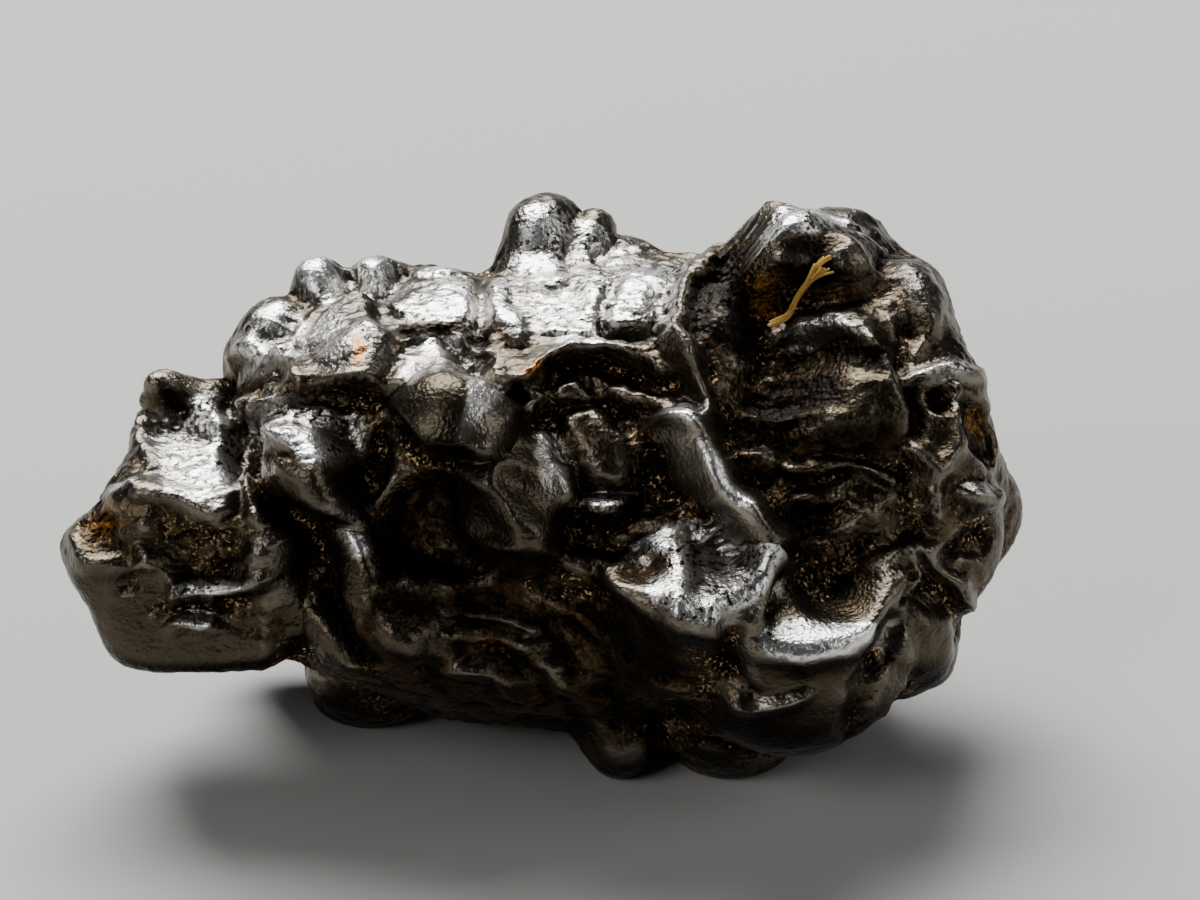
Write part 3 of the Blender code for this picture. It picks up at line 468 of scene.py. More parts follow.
# Ridges (height > 0) and grooves (height < 0): the line (u, v) that they follow, how far they reach
# on the line's left and on its right, seen along it, and their height.
LINES = {
    "lobe tip rim": (((-16.2, -1.8), (-15.7, -2.5), (-14.8, -2.5)), 0.3, 0.6, 0.35),
    "lobe curl": (((-14.1, -2.4), (-13.4, -2.5), (-12.9, -3.3), (-12.8, -4.1)), 0.4, 0.5, 0.5),
    "lobe ledge": (((-12.7, -4.0), (-11.4, -3.7), (-10.1, -3.6)), 0.7, 0.35, 0.5),
    "lobe low edge": (((-12.7, -4.9), (-11.3, -4.9)), 0.3, 0.6, 0.3),
    "shelf edge": (((-14.3, -0.3), (-12.6, -0.6), (-11.2, -0.5), (-10.2, 0.3)), 0.9, 0.35, 0.4),
    "shelf side": (((-14.3, 3.0), (-14.3, 1.2)), 0.4, 0.5, 0.35),
    "neck groove": (((-10.9, 3.6), (-10.6, 2.2), (-10.3, 0.5)), 0.5, 0.5, -0.9),
    "neck ridge": (((-9.9, 2.8), (-9.95, 0.4), (-9.95, -0.8), (-9.0, -2.1)), 0.45, 0.35, 0.6),
    "step edge": (((-9.9, 1.4), (-8.6, 1.4), (-7.4, 1.2)), 0.6, 0.4, 0.35),
    "step back": (((-9.9, 2.6), (-9.0, 3.1), (-8.3, 3.9)), 0.5, 0.4, 0.5),
    "main diagonal": (((-8.1, 0.5), (-6.4, -1.7), (-5.6, -3.3), (-4.9, -5.2)), 1.0, 1.7, 0.8),
    "diagonal groove": (((-9.0, -0.8), (-7.4, -3.1), (-5.8, -5.6)), 0.6, 0.6, -0.5),
    "low diagonal": (((-9.6, -2.4), (-8.3, -4.4), (-6.6, -5.9)), 1.0, 1.2, 0.6),
    "shoulder ridge": (((-10.9, 2.0), (-10.6, 3.3), (-9.4, 4.3), (-8.6, 4.2)), 0.5, 0.5, 0.4),
    "shoulder edge": (((-11.0, 5.0), (-10.2, 4.5), (-9.3, 4.4), (-8.5, 5.0)), 0.4, 0.35, 0.4),
    "head neck": (((-7.3, 8.0), (-7.1, 7.1), (-8.1, 5.8), (-8.7, 4.7)), 0.3, 0.3, -0.4),
    "egg neck": (((-7.0, 7.1), (-5.8, 6.9), (-5.0, 7.3)), 0.3, 0.3, -0.6),
    "boulder base": (((-8.3, 3.8), (-7.2, 3.9), (-5.6, 3.6)), 0.4, 0.3, 0.2),
    "boulder scratch": (((-6.0, 6.3), (-5.6, 5.4)), 0.2, 0.2, -0.25),
    "knob outline": (
        ((-5.6, 3.6), (-4.8, 4.7), (-3.4, 4.9), (-2.0, 4.3), (-0.8, 3.1)), 0.35, 0.25, -0.8
    ),
    "strip groove": (((-5.7, 7.0), (-5.0, 6.1), (-4.6, 5.1)), 0.25, 0.3, -0.35),
    "plateau slit": (((-2.1, 8.0), (-2.0, 6.2), (-2.1, 4.7)), 0.28, 0.28, -0.7),
    "strip edge": (((-4.1, 4.9), (-2.2, 4.6)), 0.5, 0.35, 0.35),
    "plateau rim": (((-1.3, 3.8), (0, 4.3), (1.2, 4.8), (3.8, 4.7), (4.3, 4.1)), 0.8, 0.4, 0.6),
    "block edge": (((0.2, 1.4), (0.7, 0.5), (1.2, -0.7)), 0.6, 0.6, 0.35),
    "arch": (((0.4, 3.7), (1.2, 4.1), (2.5, 4.2), (3.9, 4.0)), 0.4, 0.9, -0.7),
    "plateau streak": (((2.4, 8.0), (2.4, 6.4), (3.2, 5.5)), 0.25, 0.25, -0.35),
    "saddle": (((4.0, 8.3), (5.6, 8.1)), 0.3, 0.5, -0.4),
    "rod": (((4.4, 2.2), (5.3, 1.6), (6.3, 0.2), (7.2, -1.1), (7.8, -2.0)), 0.9, 1.3, 1.7),
    "rod end": (((4.2, 2.6), (5.2, 2.4)), 0.7, 0.6, 0.8),
    "thin ridge": (((4.7, 4.9), (5.2, 3.6), (6.2, 1.4), (7.4, -0.6), (8.3, -1.7)), 0.45, 0.45, 1.0),
    "cavity edge": (
        ((7.4, 8.4), (6.2, 8.0), (5.2, 7.3), (4.9, 6.3), (4.8, 4.9), (5.2, 4.2)), 0.5, 0.5, 0.9
    ),
    "crest lip": (((7.9, 9.1), (9.3, 9.4), (10.8, 9.5), (12.1, 8.6)), 0.4, 0.3, 0.35),
    "cavity ledge": (((8.3, 5.7), (9.3, 5.9), (10.4, 5.7), (11.4, 5.2)), 0.7, 0.35, 0.8),
    "cavity bulge fold": (((12.9, 5.6), (12.6, 4.0), (12.9, 2.2)), 0.4, 0.6, -0.6),
    "cavity sill": (((6.8, 3.3), (8.0, 3.1), (9.3, 3.1)), 0.4, 0.3, 0.4),
    "cavity shelf 1": (((7.4, 1.2), (8.4, 1.1)), 0.45, 0.35, 0.6),
    "cavity shelf 2": (((9.0, 0.9), (10.6, 0.6), (12.0, 0.2)), 0.45, 0.35, 0.6),
    "cavity shelf 3": (((9.4, -0.4), (10.6, -0.2)), 0.5, 0.3, 0.4),
    "rim band": (((12.9, 3.9), (14.3, 4.3), (15.9, 3.9)), 0.5, 0.4, 0.5),
    "rim fold": (((14.8, 3.4), (14.6, 1.6), (14.0, 0.3)), 0.4, 0.4, 0.5),
    "rim fold 2": (((12.6, 1.4), (13.6, 0.5), (13.7, -0.8)), 0.4, 0.4, 0.7),
    "rim loop": (((12.9, -1.9), (13.8, -2.0), (14.7, -3.2), (14.6, -4.1)), 0.5, 0.5, 0.8),
    "rim inner": (((12.2, -3.0), (12.8, -2.4), (13.5, -3.2), (12.5, -4.4)), 0.4, 0.4, 0.8),
    "shelf rim": (
        ((7.6, -5.5), (9.0, -6.0), (10.6, -5.9), (11.7, -5.0), (12.3, -3.8)), 1.0, 0.6, 0.4
    ),
    "web rim": (((2.5, -3.0), (3.3, -4.0), (4.6, -4.6), (5.8, -4.9)), 0.9, 0.6, 0.5),
    "web rib 1": (((4.2, -1.2), (4.7, -2.2), (4.9, -3.4), (4.7, -4.4)), 0.8, 0.8, 0.5),
    "web rib 2": (((4.9, -2.2), (6.0, -1.6)), 0.4, 0.4, 0.4),
    "web rib 3": (((5.9, -4.6), (6.9, -3.7), (7.7, -2.6)), 0.9, 0.8, 0.4),
    "belly crease": (((6.4, -4.6), (6.7, -5.8), (7.1, -7.3)), 0.25, 0.4, -0.4),
    "belly ridge": (((6.6, -7.8), (7.8, -7.3), (9.0, -7.1)), 0.3, 0.4, 0.5),
    "column groove": (((12.1, -4.9), (11.4, -6.6), (10.7, -8.4)), 0.5, 0.5, -0.6),
    "layer 1": (((-3.3, -4.4), (-1.8, -4.6), (-0.4, -5.4)), 0.5, 0.3, 0.5),
    "layer 2": (((-3.2, -5.2), (-2.0, -5.3), (-0.8, -5.9)), 0.5, 0.3, 0.5),
    "layer 3": (((-3.4, -6.4), (-1.6, -6.6), (0.2, -7.4)), 0.5, 0.3, 0.5),
    "strand 1": (((0.4, -4.4), (1.5, -5.1), (2.7, -6.4)), 0.5, 0.4, 0.35),
    "strand 2": (((1.4, -4.1), (2.6, -4.8), (3.9, -6.1)), 0.5, 0.4, 0.35),
    "strand 3": (((3.3, -6.6), (4.2, -7.0), (5.4, -7.3)), 0.35, 0.35, 0.5),
    "strand 4": (((-0.4, -5.9), (1.2, -7.0), (2.4, -8.0)), 0.4, 0.4, 0.5),
    "lower rim": (((-3.8, -7.5), (-1.5, -8.0), (1.1, -8.3)), 0.6, 0.4, 0.6),
}


RUN_OUT = 1.5  # the power that lets each stroke run out softly at its foot


def dab_height(u, v, centre, halves, turn, height, squareness):
    """A lump or hollow: height * (1 - r^(2 q))^RUN_OUT, with r the distance from the centre in half
    lengths along the turned axes, and q the squareness."""
    angle = math.radians(turn)
    across = (u - centre[0]) * math.cos(angle) + (v - centre[1]) * math.sin(angle)
    along = (v - centre[1]) * math.cos(angle) - (u - centre[0]) * math.sin(angle)
    r2 = (across / halves[0]) ** 2 + (along / halves[1]) ** 2
    return height * (1 - np.clip(r2, 0, 1) ** squareness) ** RUN_OUT


def line_height(u, v, line, left, right, height):
    """A ridge or groove: height * (1 - d^2)^RUN_OUT, with d the distance from the line as a share
    of how far it reaches on that side."""
    nearest = np.full(len(u), np.inf)
    for (u0, v0), (u1, v1) in zip(line[:-1], line[1:]):
        du, dv = u1 - u0, v1 - v0
        t = np.clip(((u - u0) * du + (v - v0) * dv) / (du * du + dv * dv), 0, 1)
        off_u, off_v = u - u0 - t * du, v - v0 - t * dv
        reach = np.where(du * off_v - dv * off_u > 0, left, right)
        nearest = np.minimum(nearest, np.hypot(off_u, off_v) / reach)
    return height * (1 - np.clip(nearest, 0, 1) ** 2) ** RUN_OUT


def face_relief(u, v):
    """Height of the face's lumps, hollows, ridges and grooves over (u, v)."""
    height = np.zeros(len(u))
    for dab in DABS.values():
        height += dab_height(u, v, *dab)
    for line in LINES.values():
        height += line_height(u, v, *line)
    return height


print("strokes:", len(DABS), "dabs and", len(LINES), "lines")

# %% [markdown]
# ## The relief of the other sides
#
# The hidden sides have the same kind of surface: shallow hollows like thumbprints, with ridges
# where two of them meet. Nobody knows where each one lies, so chance may place them. Seeds are
# spread over the bulk, each point belongs to the nearest, and how much nearer that one is than the
# next says how far in from the ridge the point lies.

# %% Thumbprints and waves
SEED = 11
THUMBPRINTS = 34  # shallow hollows, spread over the whole nugget
THUMBPRINT_DEPTH = (0.5, 1.5)  # least and most
THUMBPRINT_EDGE = 1.5  # how far each hollow's slope reaches in from the ridge around it
WAVES = 24  # random waves that are added up wherever something is uneven
SWELL = (4.0, 9.0), 0.4  # shortest and longest wave of the sides' unevenness, and its height
WANDER = (3.0, 6.0), 0.2  # waves that bend the face's ridges and lumps, and how far
TREMBLE = (0.9, 2.0), 0.06  # shorter waves that roughen their outlines
FOOT_ZONE = (0.2, 1.2)  # heights between which the relief fades out, so that the feet stay flat
rng = np.random.default_rng(SEED)


def waves(points, rng, lengths, height):
    """Sum of WAVES sine waves that run in random directions, with a typical total of the height."""
    headings = unit(rng.normal(size=(WAVES, 3)))
    length = rng.uniform(*lengths, size=(WAVES, 1))
    phases = rng.uniform(0, 2 * math.pi, size=WAVES)
    total = np.sin(points @ (headings * 2 * math.pi / length).T + phases).sum(axis=1)
    return height * total / math.sqrt(WAVES / 2)


def thumbprints(points, rng):
    """Hollows with ridges between them, deepest THUMBPRINT_EDGE and more in from the ridge."""
    seeds = bulk_points(unit(rng.normal(size=(THUMBPRINTS, 3))))
    depths = rng.uniform(*THUMBPRINT_DEPTH, size=THUMBPRINTS)
    away = np.linalg.norm(points[:, None, :] - seeds[None, :, :], axis=2)
    order = np.argsort(away, axis=1)[:, :2]
    first, second = np.take_along_axis(away, order, axis=1).T
    return -depths[order[:, 0]] * ease(second - first, 0, THUMBPRINT_EDGE * 2)


bent_u, bent_v = (
    bulk[:, k] + waves(bulk, rng, *WANDER) + waves(bulk, rng, *TREMBLE) for k in (0, 1)
)
face_height = face_relief(bent_u, bent_v)
side_height = thumbprints(bulk, rng) + waves(bulk, rng, *SWELL)
side_height *= ease(to_table(bulk)[:, 2], *FOOT_ZONE)
print("face relief, mm:", face_height.min().round(1), "to", face_height.max().round(1))

# %% [markdown]
# ## Raising the relief
#
# Where the bulk looks forward, the face's own relief counts, and elsewhere the thumbprints. Both
# rise along the bulk's normal. On the face that heading is drawn towards w, so that a ridge stays
# where the face shows it.

# %% Raised points
MELT_PASSES = 2  # rounds of smoothing that soften the strokes' creases, as melting did
FACING = -0.25, 0.55  # how squarely the bulk looks forward where the face starts, and is whole
edges = np.concatenate([quads[:, [k, (k + 1) % 4]] for k in range(4)])
neighbours = np.bincount(edges[:, 0], minlength=len(bulk))[:, None]


def smoothed(points, passes):
    """The sheet after each point has moved halfway to its neighbours' middle, pass by pass."""
    for _ in range(passes):
        total = [np.bincount(edges[:, 0], weights=points[edges[:, 1], k]) for k in range(3)]
        points = (points + np.stack(total, axis=1) / neighbours) / 2
    return points


facing = ease(bulk_normals[:, 2], *FACING)
heading = unit(bulk_normals + np.array([0, 0, 1]) * facing[:, None])
height = face_height * facing + side_height * (1 - facing)
raised = smoothed(bulk + heading * height[:, None], MELT_PASSES)
print("raised, mm:", raised.min(axis=0).round(1), "to", raised.max(axis=0).round(1))

# %% [markdown]
# ## Noise and rubble
#
# Up close the metal is never smooth, and two kinds of pattern are enough for all its roughness.
# Value noise blends random numbers on a cubic lattice by S-curves. Rubble breaks the surface into
# cells, one round each seed of a jittered lattice, and lifts each cell to its own height. Both are
# told by the point's place in space, so they run over the whole nugget without a seam.

# %% Noise
LATTICE = 1 << 14  # how many random numbers the lattice draws from
HASH = (73856093, 19349663, 83492791)  # large primes, which scatter neighbouring cells
LUMP_LEAST = 0.3  # height of the lowest lump of rubble, as a share of the highest
LUMP_EDGE = 0.35  # how far in from its edge a lump reaches its height, as a share of its size


def lattice_value(cells, values):
    """A repeatable random number for each whole-number cell (i, j, k)."""
    scattered = cells[..., 0] * HASH[0] ^ cells[..., 1] * HASH[1] ^ cells[..., 2] * HASH[2]
    return values[scattered & (LATTICE - 1)]


def noise(points, size, rng):
    """Smooth value noise from -1 to 1, whose lumps are about as wide as the size in millimetres."""
    values = rng.uniform(-1, 1, size=LATTICE)
    scaled = points / size
    cell = np.floor(scaled).astype(np.int64)
    t = scaled - cell
    t = t * t * (3 - 2 * t)
    total = np.zeros(len(points))
    for corner in np.ndindex(2, 2, 2):
        share = np.prod(np.where(corner, t, 1 - t), axis=1)
        total += share * lattice_value(cell + np.array(corner), values)
    return total


def rough_noise(points, size, rng, octaves=3):
    """Noise with finer noise on it: each octave is half as wide and half as high as the last."""
    return sum(noise(points, size / 2**k, rng) / 2**k for k in range(octaves))


def rubble(points, size, rng):
    """Lumps about as wide as the size in millimetres, 0 at their edges and up to 1 high, with flat
    tops. A lattice cell's seed is its corner moved by up to one cell, and a point belongs to the
    nearest seed. How much nearer that one is than the next says how far in from the edge it is."""
    jitter = rng.uniform(0, 1, size=(4, LATTICE))
    scaled = points / size
    cell = np.floor(scaled).astype(np.int64)
    first = np.full(len(points), np.inf)
    second = np.full(len(points), np.inf)
    top = np.zeros(len(points))
    for step in np.ndindex(3, 3, 3):
        near_cell = cell + np.array(step) - 1
        seed = near_cell + np.stack([lattice_value(near_cell, jitter[k]) for k in range(3)], axis=1)
        away = np.linalg.norm(scaled - seed, axis=1)
        top = np.where(away < first, lattice_value(near_cell, jitter[3]), top)
        second = np.minimum(second, np.maximum(first, away))
        first = np.minimum(first, away)
    return (LUMP_LEAST + (1 - LUMP_LEAST) * top) * ease(second - first, 0, LUMP_EDGE)


print("random numbers in a lattice:", LATTICE)

# %% [markdown]
# ## Wear and dirt
#
# Handling polishes what stands out and leaves the oxide where nothing rubs. How far a point stands
# out is its height over the same sheet smoothed: each pass moves a point towards the middle of its
# neighbours, so many passes give the sheet as it looks from a little further away.

# %% How far each point stands out
NEAR_PASSES = 12  # enough to smooth away pocks and grains
BROAD_PASSES = 120  # enough to smooth away ridges and hollows


def standing_out(points, normals, passes):
    """How far each point lies outside the smoothed sheet, along its normal, in millimetres."""
    return ((points - smoothed(points, passes)) * normals).sum(axis=1)


raised_normals = normals_of(raised, quads)
broad = standing_out(raised, raised_normals, BROAD_PASSES)
print("stands out, mm:", np.percentile(broad, [1, 25, 50, 75, 99]).round(2))

# %% [markdown]
# ## Polish and painted light, stains and smooth places
#
# Not every ridge is rubbed alike. Where hands and brushes reach, on the tops, the tips and the two
# rims low on the right, the iron is bright. The middle of the front lies sheltered, and its
# darkness is painted shade. The same patches paint highlights on ledges, rims and the web, and
# shade round the knob and in the hollows.
# Both could be painted by hand, but a patch is three or four numbers that can still be moved. Rust
# stains are smaller patches, and more of them say where the iron has no grain.

# %% Polished places with painted light, and stained places
POLISH_BASE = 0.35  # how far the oxide is worn off the face outside all patches
POLISH_BEHIND = 0.10  # the same on the other sides
# Each patch: centre (u, v), half lengths, turn in degrees, amount, and squareness.
# Besides real wear, these patches paint light and shade into the colour. Those on ledges, rims, the
# web, the rod's end and the fold's spot are painted highlights. Those over, under and in front of
# the knob, in the hollows and under the crest and the ledge are painted shade.
POLISH_AND_PAINTED_LIGHT = {
    "shelf": ((-12.1, 1.4), (2.6, 2.6), 0, 0.45, 3),
    "lobe front": ((-13.2, -3.4), (4.2, 3.2), 0, -0.15, 3),
    "lobe tip top": ((-15.0, 0.1), (0.7, 0.5), 0, 0.5, 2),
    "left step": ((-8.2, 2.0), (2.1, 1.4), -8, 0.6, 3),
    "shoulder": ((-9.8, 5.2), (1.8, 1.7), 20, 0.7, 3),
    "heads": ((-7.0, 7.7), (2.7, 1.3), 0, 0.6, 2),
    "boulder": ((-6.5, 5.6), (2.3, 2.0), 0, 0.35, 2),
    "strip": ((-3.3, 6.5), (1.8, 2.2), 0, 0.6, 3),
    "plateau": ((1.5, 6.9), (3.8, 2.5), 0, 0.65, 4),
    "plateau's grey 1": ((0.1, 6.9), (1.1, 0.5), 0, -0.35, 2),
    "plateau's grey 2": ((-0.3, 5.4), (0.8, 0.6), 0, -0.35, 2),
    "plateau's grey 3": ((1.9, 7.9), (1.2, 0.4), -20, -0.35, 2),
    "plateau's grey 4": ((2.9, 5.8), (1.4, 0.4), -10, -0.4, 2),
    "top knobs": ((0.6, 9.2), (2.6, 1.7), 0, 0.5, 2),
    "knob": ((-3.2, 3.1), (2.5, 2.3), -20, 0.15, 3),
    "knob's front": ((-3.7, 2.7), (1.3, 1.6), -20, -0.7, 2),
    "knob's right": ((-2.1, 3.1), (0.8, 1.3), -35, 0.3, 2),
    "over the knob": ((-3.4, 5.3), (2.0, 0.35), -8, -1.3, 2),
    "saddle": ((5.8, 7.9), (2.2, 1.0), 20, 0.5, 2),
    "crest": ((9.7, 9.6), (2.6, 0.6), -5, 1.1, 3),
    "under the crest": ((10.0, 8.2), (2.8, 1.2), -5, -0.7, 3),
    "under the ledge": ((11.6, 4.6), (1.0, 0.6), 0, -0.7, 2),
    "cavity ledge": ((9.9, 5.6), (1.8, 0.5), -5, 0.6, 2),
    "cavity bulge": ((11.4, 3.2), (2.0, 2.4), 0, -0.45, 3),
    "cavity slope": ((9.0, 3.7), (1.7, 1.0), 0, -0.4, 3),
    "below the step": ((-8.5, 0.2), (1.4, 0.6), 0, -0.2, 2),
    "low left folds": ((-5.9, -4.0), (2.6, 2.0), 0, -0.35, 3),
    "block's face": ((-1.0, -0.5), (1.1, 1.6), 20, -0.5, 2),
    "right band": ((14.3, 4.1), (2.0, 0.7), 0, 0.4, 2),
    "rim recess": ((15.4, 1.8), (1.1, 1.4), 12, -0.4, 3),
    "rim knuckle": ((15.2, -0.1), (0.8, 0.5), 0, 0.4, 2),
    "rim loop": ((13.9, -2.6), (1.2, 0.9), -45, 0.2, 2),
    "rim lump": ((13.6, 7.0), (1.0, 1.6), 15, 0.3, 2),
    "web": ((5.6, -3.1), (2.7, 2.1), -5, 0.8, 3),
    "rod": ((5.9, 0.4), (2.8, 1.0), -50, 0.45, 2),
    "main fold": ((-6.5, -1.3), (1.8, 0.8), -55, 0.25, 2),
    "front block": ((0.4, 0.6), (0.9, 1.6), 25, 0.4, 2),
    "low rim": ((9.8, -5.3), (2.9, 1.2), 5, 0.8, 3),
    "front middle": ((1.6, 1.6), (3.3, 2.9), 0, -0.05, 3),
    "under the knob": ((-3.2, -2.2), (3.2, 3.4), 0, -0.35, 3),
    "cavity": ((8.9, 2.6), (3.2, 4.4), 10, -0.2, 3),
    "cavity wall": ((6.2, 6.4), (1.3, 2.0), 8, -0.9, 3),
    "lobe tip pit": ((-15.8, -1.6), (0.9, 1.0), 0, -0.4, 2),
    "ear's hollow": ((-13.1, 3.3), (0.7, 0.5), -20, -0.9, 2),
    "lobe ledge": ((-11.4, -3.6), (1.8, 0.5), 3, 1.0, 2),
    "lobe low ledge": ((-12.0, -4.8), (0.8, 0.4), 0, 1.0, 2),
    "front ledge": ((2.5, 0.0), (1.3, 0.5), 8, 0.6, 2),
    "rod end": ((4.7, 2.7), (1.0, 0.7), -10, 0.4, 2),
    "fold's spot": ((-6.2, -1.7), (0.9, 0.5), -50, 0.3, 2),
    "web's left": ((2.9, -3.2), (1.0, 0.9), 0, -0.4, 2),
    "low hollow": ((9.9, -2.2), (2.6, 2.2), 0, -0.15, 3),
    "below the web": ((3.4, -5.6), (2.6, 1.6), -35, -0.4, 2),
    "belly ridge": ((7.9, -7.3), (1.4, 0.35), 15, 0.6, 2),
    "bottom": ((-0.5, -6.5), (7.0, 3.2), 0, -0.25, 3),
    "belly": ((9.0, -8.0), (4.5, 1.8), 0, -0.2, 2),
}
STAINED = {
    "boulder": ((-6.9, 4.9), (0.5, 1.2), 15, 1, 1),
    "plateau rim": ((-0.5, 4.1), (0.7, 0.5), 0, 0.9, 1),
    "cavity top": ((7.6, 7.0), (1.7, 1.1), -35, 0.9, 1),
    "cavity spot": ((7.7, 8.0), (0.3, 0.25), 0, 1.5, 1),
    "under the crest": ((10.8, 6.6), (1.8, 0.5), -8, 0.7, 1),
    "lobe tip": ((-15.5, -1.1), (1.4, 1.5), 0, 0.65, 1),
    "right edge": ((15.9, 1.9), (0.5, 1.6), 10, 0.7, 1),
    "web": ((3.9, -2.9), (1.3, 0.8), 0, 0.8, 1),
    "layers": ((-1.8, -5.6), (1.6, 0.7), -20, 0.6, 1),
    "step": ((-7.6, 1.9), (0.8, 0.7), 0, 0.5, 1),
}
# Where the iron melted last it is smooth, with no grain: folds, knobs and rounded ends.
SMOOTH = {
    "knob": ((-3.2, 3.0), (2.7, 2.2), -15, 1, 4),
    "heads": ((-7.0, 7.7), (2.3, 0.9), 0, 0.7, 3),
    "boulder's left": ((-7.7, 5.3), (0.9, 1.9), -35, 0.7, 2),
    "lobe tip": ((-15.4, -3.9), (1.8, 1.8), 0, 0.8, 3),
    "lobe body": ((-12.3, -5.6), (3.4, 1.1), 0, 0.8, 3),
    "lobe curl": ((-13.2, -3.0), (1.0, 1.3), -40, 0.7, 2),
    "main fold": ((-6.8, -1.7), (3.2, 1.0), -57, 0.9, 3),
    "low fold": ((-8.2, -4.4), (2.4, 0.9), -50, 0.7, 3),
    "front block": ((-0.9, -0.3), (2.3, 2.6), 20, 0.9, 3),
    "rod": ((6.0, 0.4), (3.2, 0.9), -50, 0.9, 3),
    "cavity bulge": ((11.2, 3.2), (1.9, 2.0), 0, 0.5, 3),
    "shoulder": ((-9.9, 5.4), (1.3, 1.2), 0, 0.6, 2),
    "dark block": ((-4.1, -4.9), (1.3, 1.3), 0, 0.7, 3),
    "belly": ((8.6, -7.9), (3.8, 1.8), 0, 0.7, 3),
    "column": ((13.3, -5.6), (1.5, 2.3), 10, 0.6, 3),
    "right edge": ((16.3, 0.8), (0.7, 5.5), 8, 0.6, 3),
    "low rim": ((9.8, -5.4), (2.4, 0.8), 5, 0.6, 3),
}


def patches(u, v, table):
    """The sum of a table's patches over (u, v)."""
    return sum(dab_height(u, v, *patch) for patch in table.values())


print("patches:", len(POLISH_AND_PAINTED_LIGHT), "polished,", len(STAINED), "stained,", len(SMOOTH), "smooth")

# %% [markdown]
# ## Fine relief
#
# Flat tops are pocked, hollows are filled with broken grains, and the low front is layered. A bump
# in the material could fake all three, but their outlines and shadows would be missing, so they are
# part of the sheet. They fade out where it runs steeply away from its rays, because its squares are
# drawn long there, and over the feet, which stay flat.

# %% Fine relief
POCKS = 0.7, 0.10  # size and height of the pocks on the flat tops
GRAIN = 0.35, 0.06  # size and height of the grains in the hollows
RUBBLE = 0.6, 0.13  # size and height of the broken lumps in the hollows
LAYERS = 1.0, 0.20  # the same in the low front, where they are drawn out along the layers
LAYER_TURN = math.radians(-38)  # how far the layers lean from the level, seen on the face
LAYER_STRETCH = 0.35  # how much shorter the points' distances count along the layers
LAYERS_LEFT = -7.5, -5.5  # u between which the layers fade in
LAYERS_RIGHT = -6.0, -4.0  # the same for -u, at their right end
LAYERS_TOP = 2.2, 4.0  # the same for -v, at their top
HOLLOW = -0.30, 0.20  # how far in a point lies where a hollow starts, and is whole
GRAIN_OUTSIDE = 0.25  # the share of the grain that the tops and ridges have too
RUBBLE_SUNK = 0.06  # how far the rubble is let in, so that it doesn't fill the hollows
SMOOTHED_OFF = 0.85  # the share of the fine relief that smooth places lack
STEEP = 0.05, 0.45  # cosine between sheet normal and ray where fine relief starts, and is whole
STEEP_PASSES = 12  # rounds of smoothing for the steepest places
FLAT_FEET = 0.1, 0.6  # heights between which the fine relief fades out
hollow = ease(-broad, *HOLLOW)
low_front = facing * ease(raised[:, 0], *LAYERS_LEFT) * ease(-raised[:, 0], *LAYERS_RIGHT)
low_front *= ease(-raised[:, 1], *LAYERS_TOP)
along = raised[:, 0] * math.cos(LAYER_TURN) + raised[:, 1] * math.sin(LAYER_TURN)
across = raised[:, 1] * math.cos(LAYER_TURN) - raised[:, 0] * math.sin(LAYER_TURN)
layered = np.stack([along * LAYER_STRETCH, across, raised[:, 2]], axis=1)
pocks = rough_noise(raised, POCKS[0], rng)
grain = rough_noise(raised, GRAIN[0], rng)
broken = RUBBLE[1] * rubble(raised, RUBBLE[0], rng) * (1 - low_front)
broken += LAYERS[1] * rubble(layered, LAYERS[0], rng) * low_front
fine = -POCKS[1] * np.abs(pocks) * (1 - hollow) + GRAIN[1] * grain * (GRAIN_OUTSIDE + hollow)
fine += (broken - RUBBLE_SUNK) * hollow
smooth = np.clip(facing * patches(bent_u, bent_v, SMOOTH), 0, 1)
fine *= 1 - SMOOTHED_OFF * smooth
square_on = ease((raised_normals * aims).sum(axis=1), *STEEP)
fine *= square_on
foot = ease(to_table(raised)[:, 2], *FLAT_FEET)
finished = raised + raised_normals * (fine * foot)[:, None]
soft = smoothed(finished, STEEP_PASSES)
finished = soft + (finished - soft) * square_on[:, None]
print("fine relief, mm:", fine.min().round(2), "to", fine.max().round(2))

# %% [markdown]
# ## What the material has to know
#
# Wear follows the shape, and a material can't measure the shape around a point by itself. So six
# numbers are worked out at each point, and the material reads them by name: how far the point
# stands out of its near and of its broader surroundings, how far it looks up, how polished, with
# painted light and shade in the same number, how smooth and how stained it is.

# %% Numbers at each point
UP_PASSES = 30  # rounds of smoothing before it is told which way a place looks
normals = normals_of(finished, quads)
soft_normals = normals_of(smoothed(finished, UP_PASSES), quads)
polish_and_painted_light = patches(bent_u, bent_v, POLISH_AND_PAINTED_LIGHT) + POLISH_BASE - POLISH_BEHIND
point_values = {
    "near": standing_out(finished, normals, NEAR_PASSES),
    "broad": standing_out(finished, normals, BROAD_PASSES),
    "up": soft_normals[:, 1] * math.cos(FACE_TILT) + soft_normals[:, 2] * math.sin(FACE_TILT),
    # polish, with the painted light and shade of the patches in it
    "polish": facing * polish_and_painted_light + POLISH_BEHIND,
    "smooth": smooth,
    "stain": facing * patches(bent_u, bent_v, STAINED),
}
for name, values in point_values.items():
    print(name, "at each point:", np.percentile(values, [1, 50, 99]).round(2))

# %% [markdown]
# ## The nugget's mesh
#
# The sheet is leaned back onto the table, and what would lie under the table is cut level: these
# are the worn feet that it rests on. A mesh is made from a list of points and a list of faces, and
# each of the six numbers becomes an attribute of its points.

# %% The nugget's mesh
points = to_table(finished)
points[:, 2] = np.maximum(points[:, 2], 0)


def add_mesh(name, points, faces):
    """A smooth-shaded object with its place in its mesh, from points in millimetres."""
    mesh = bpy.data.meshes.new(name)
    mesh.from_pydata((points * MM).tolist(), [], faces.tolist())
    mesh.shade_smooth()
    piece = bpy.data.objects.new(name, mesh)
    bpy.context.scene.collection.objects.link(piece)
    return piece


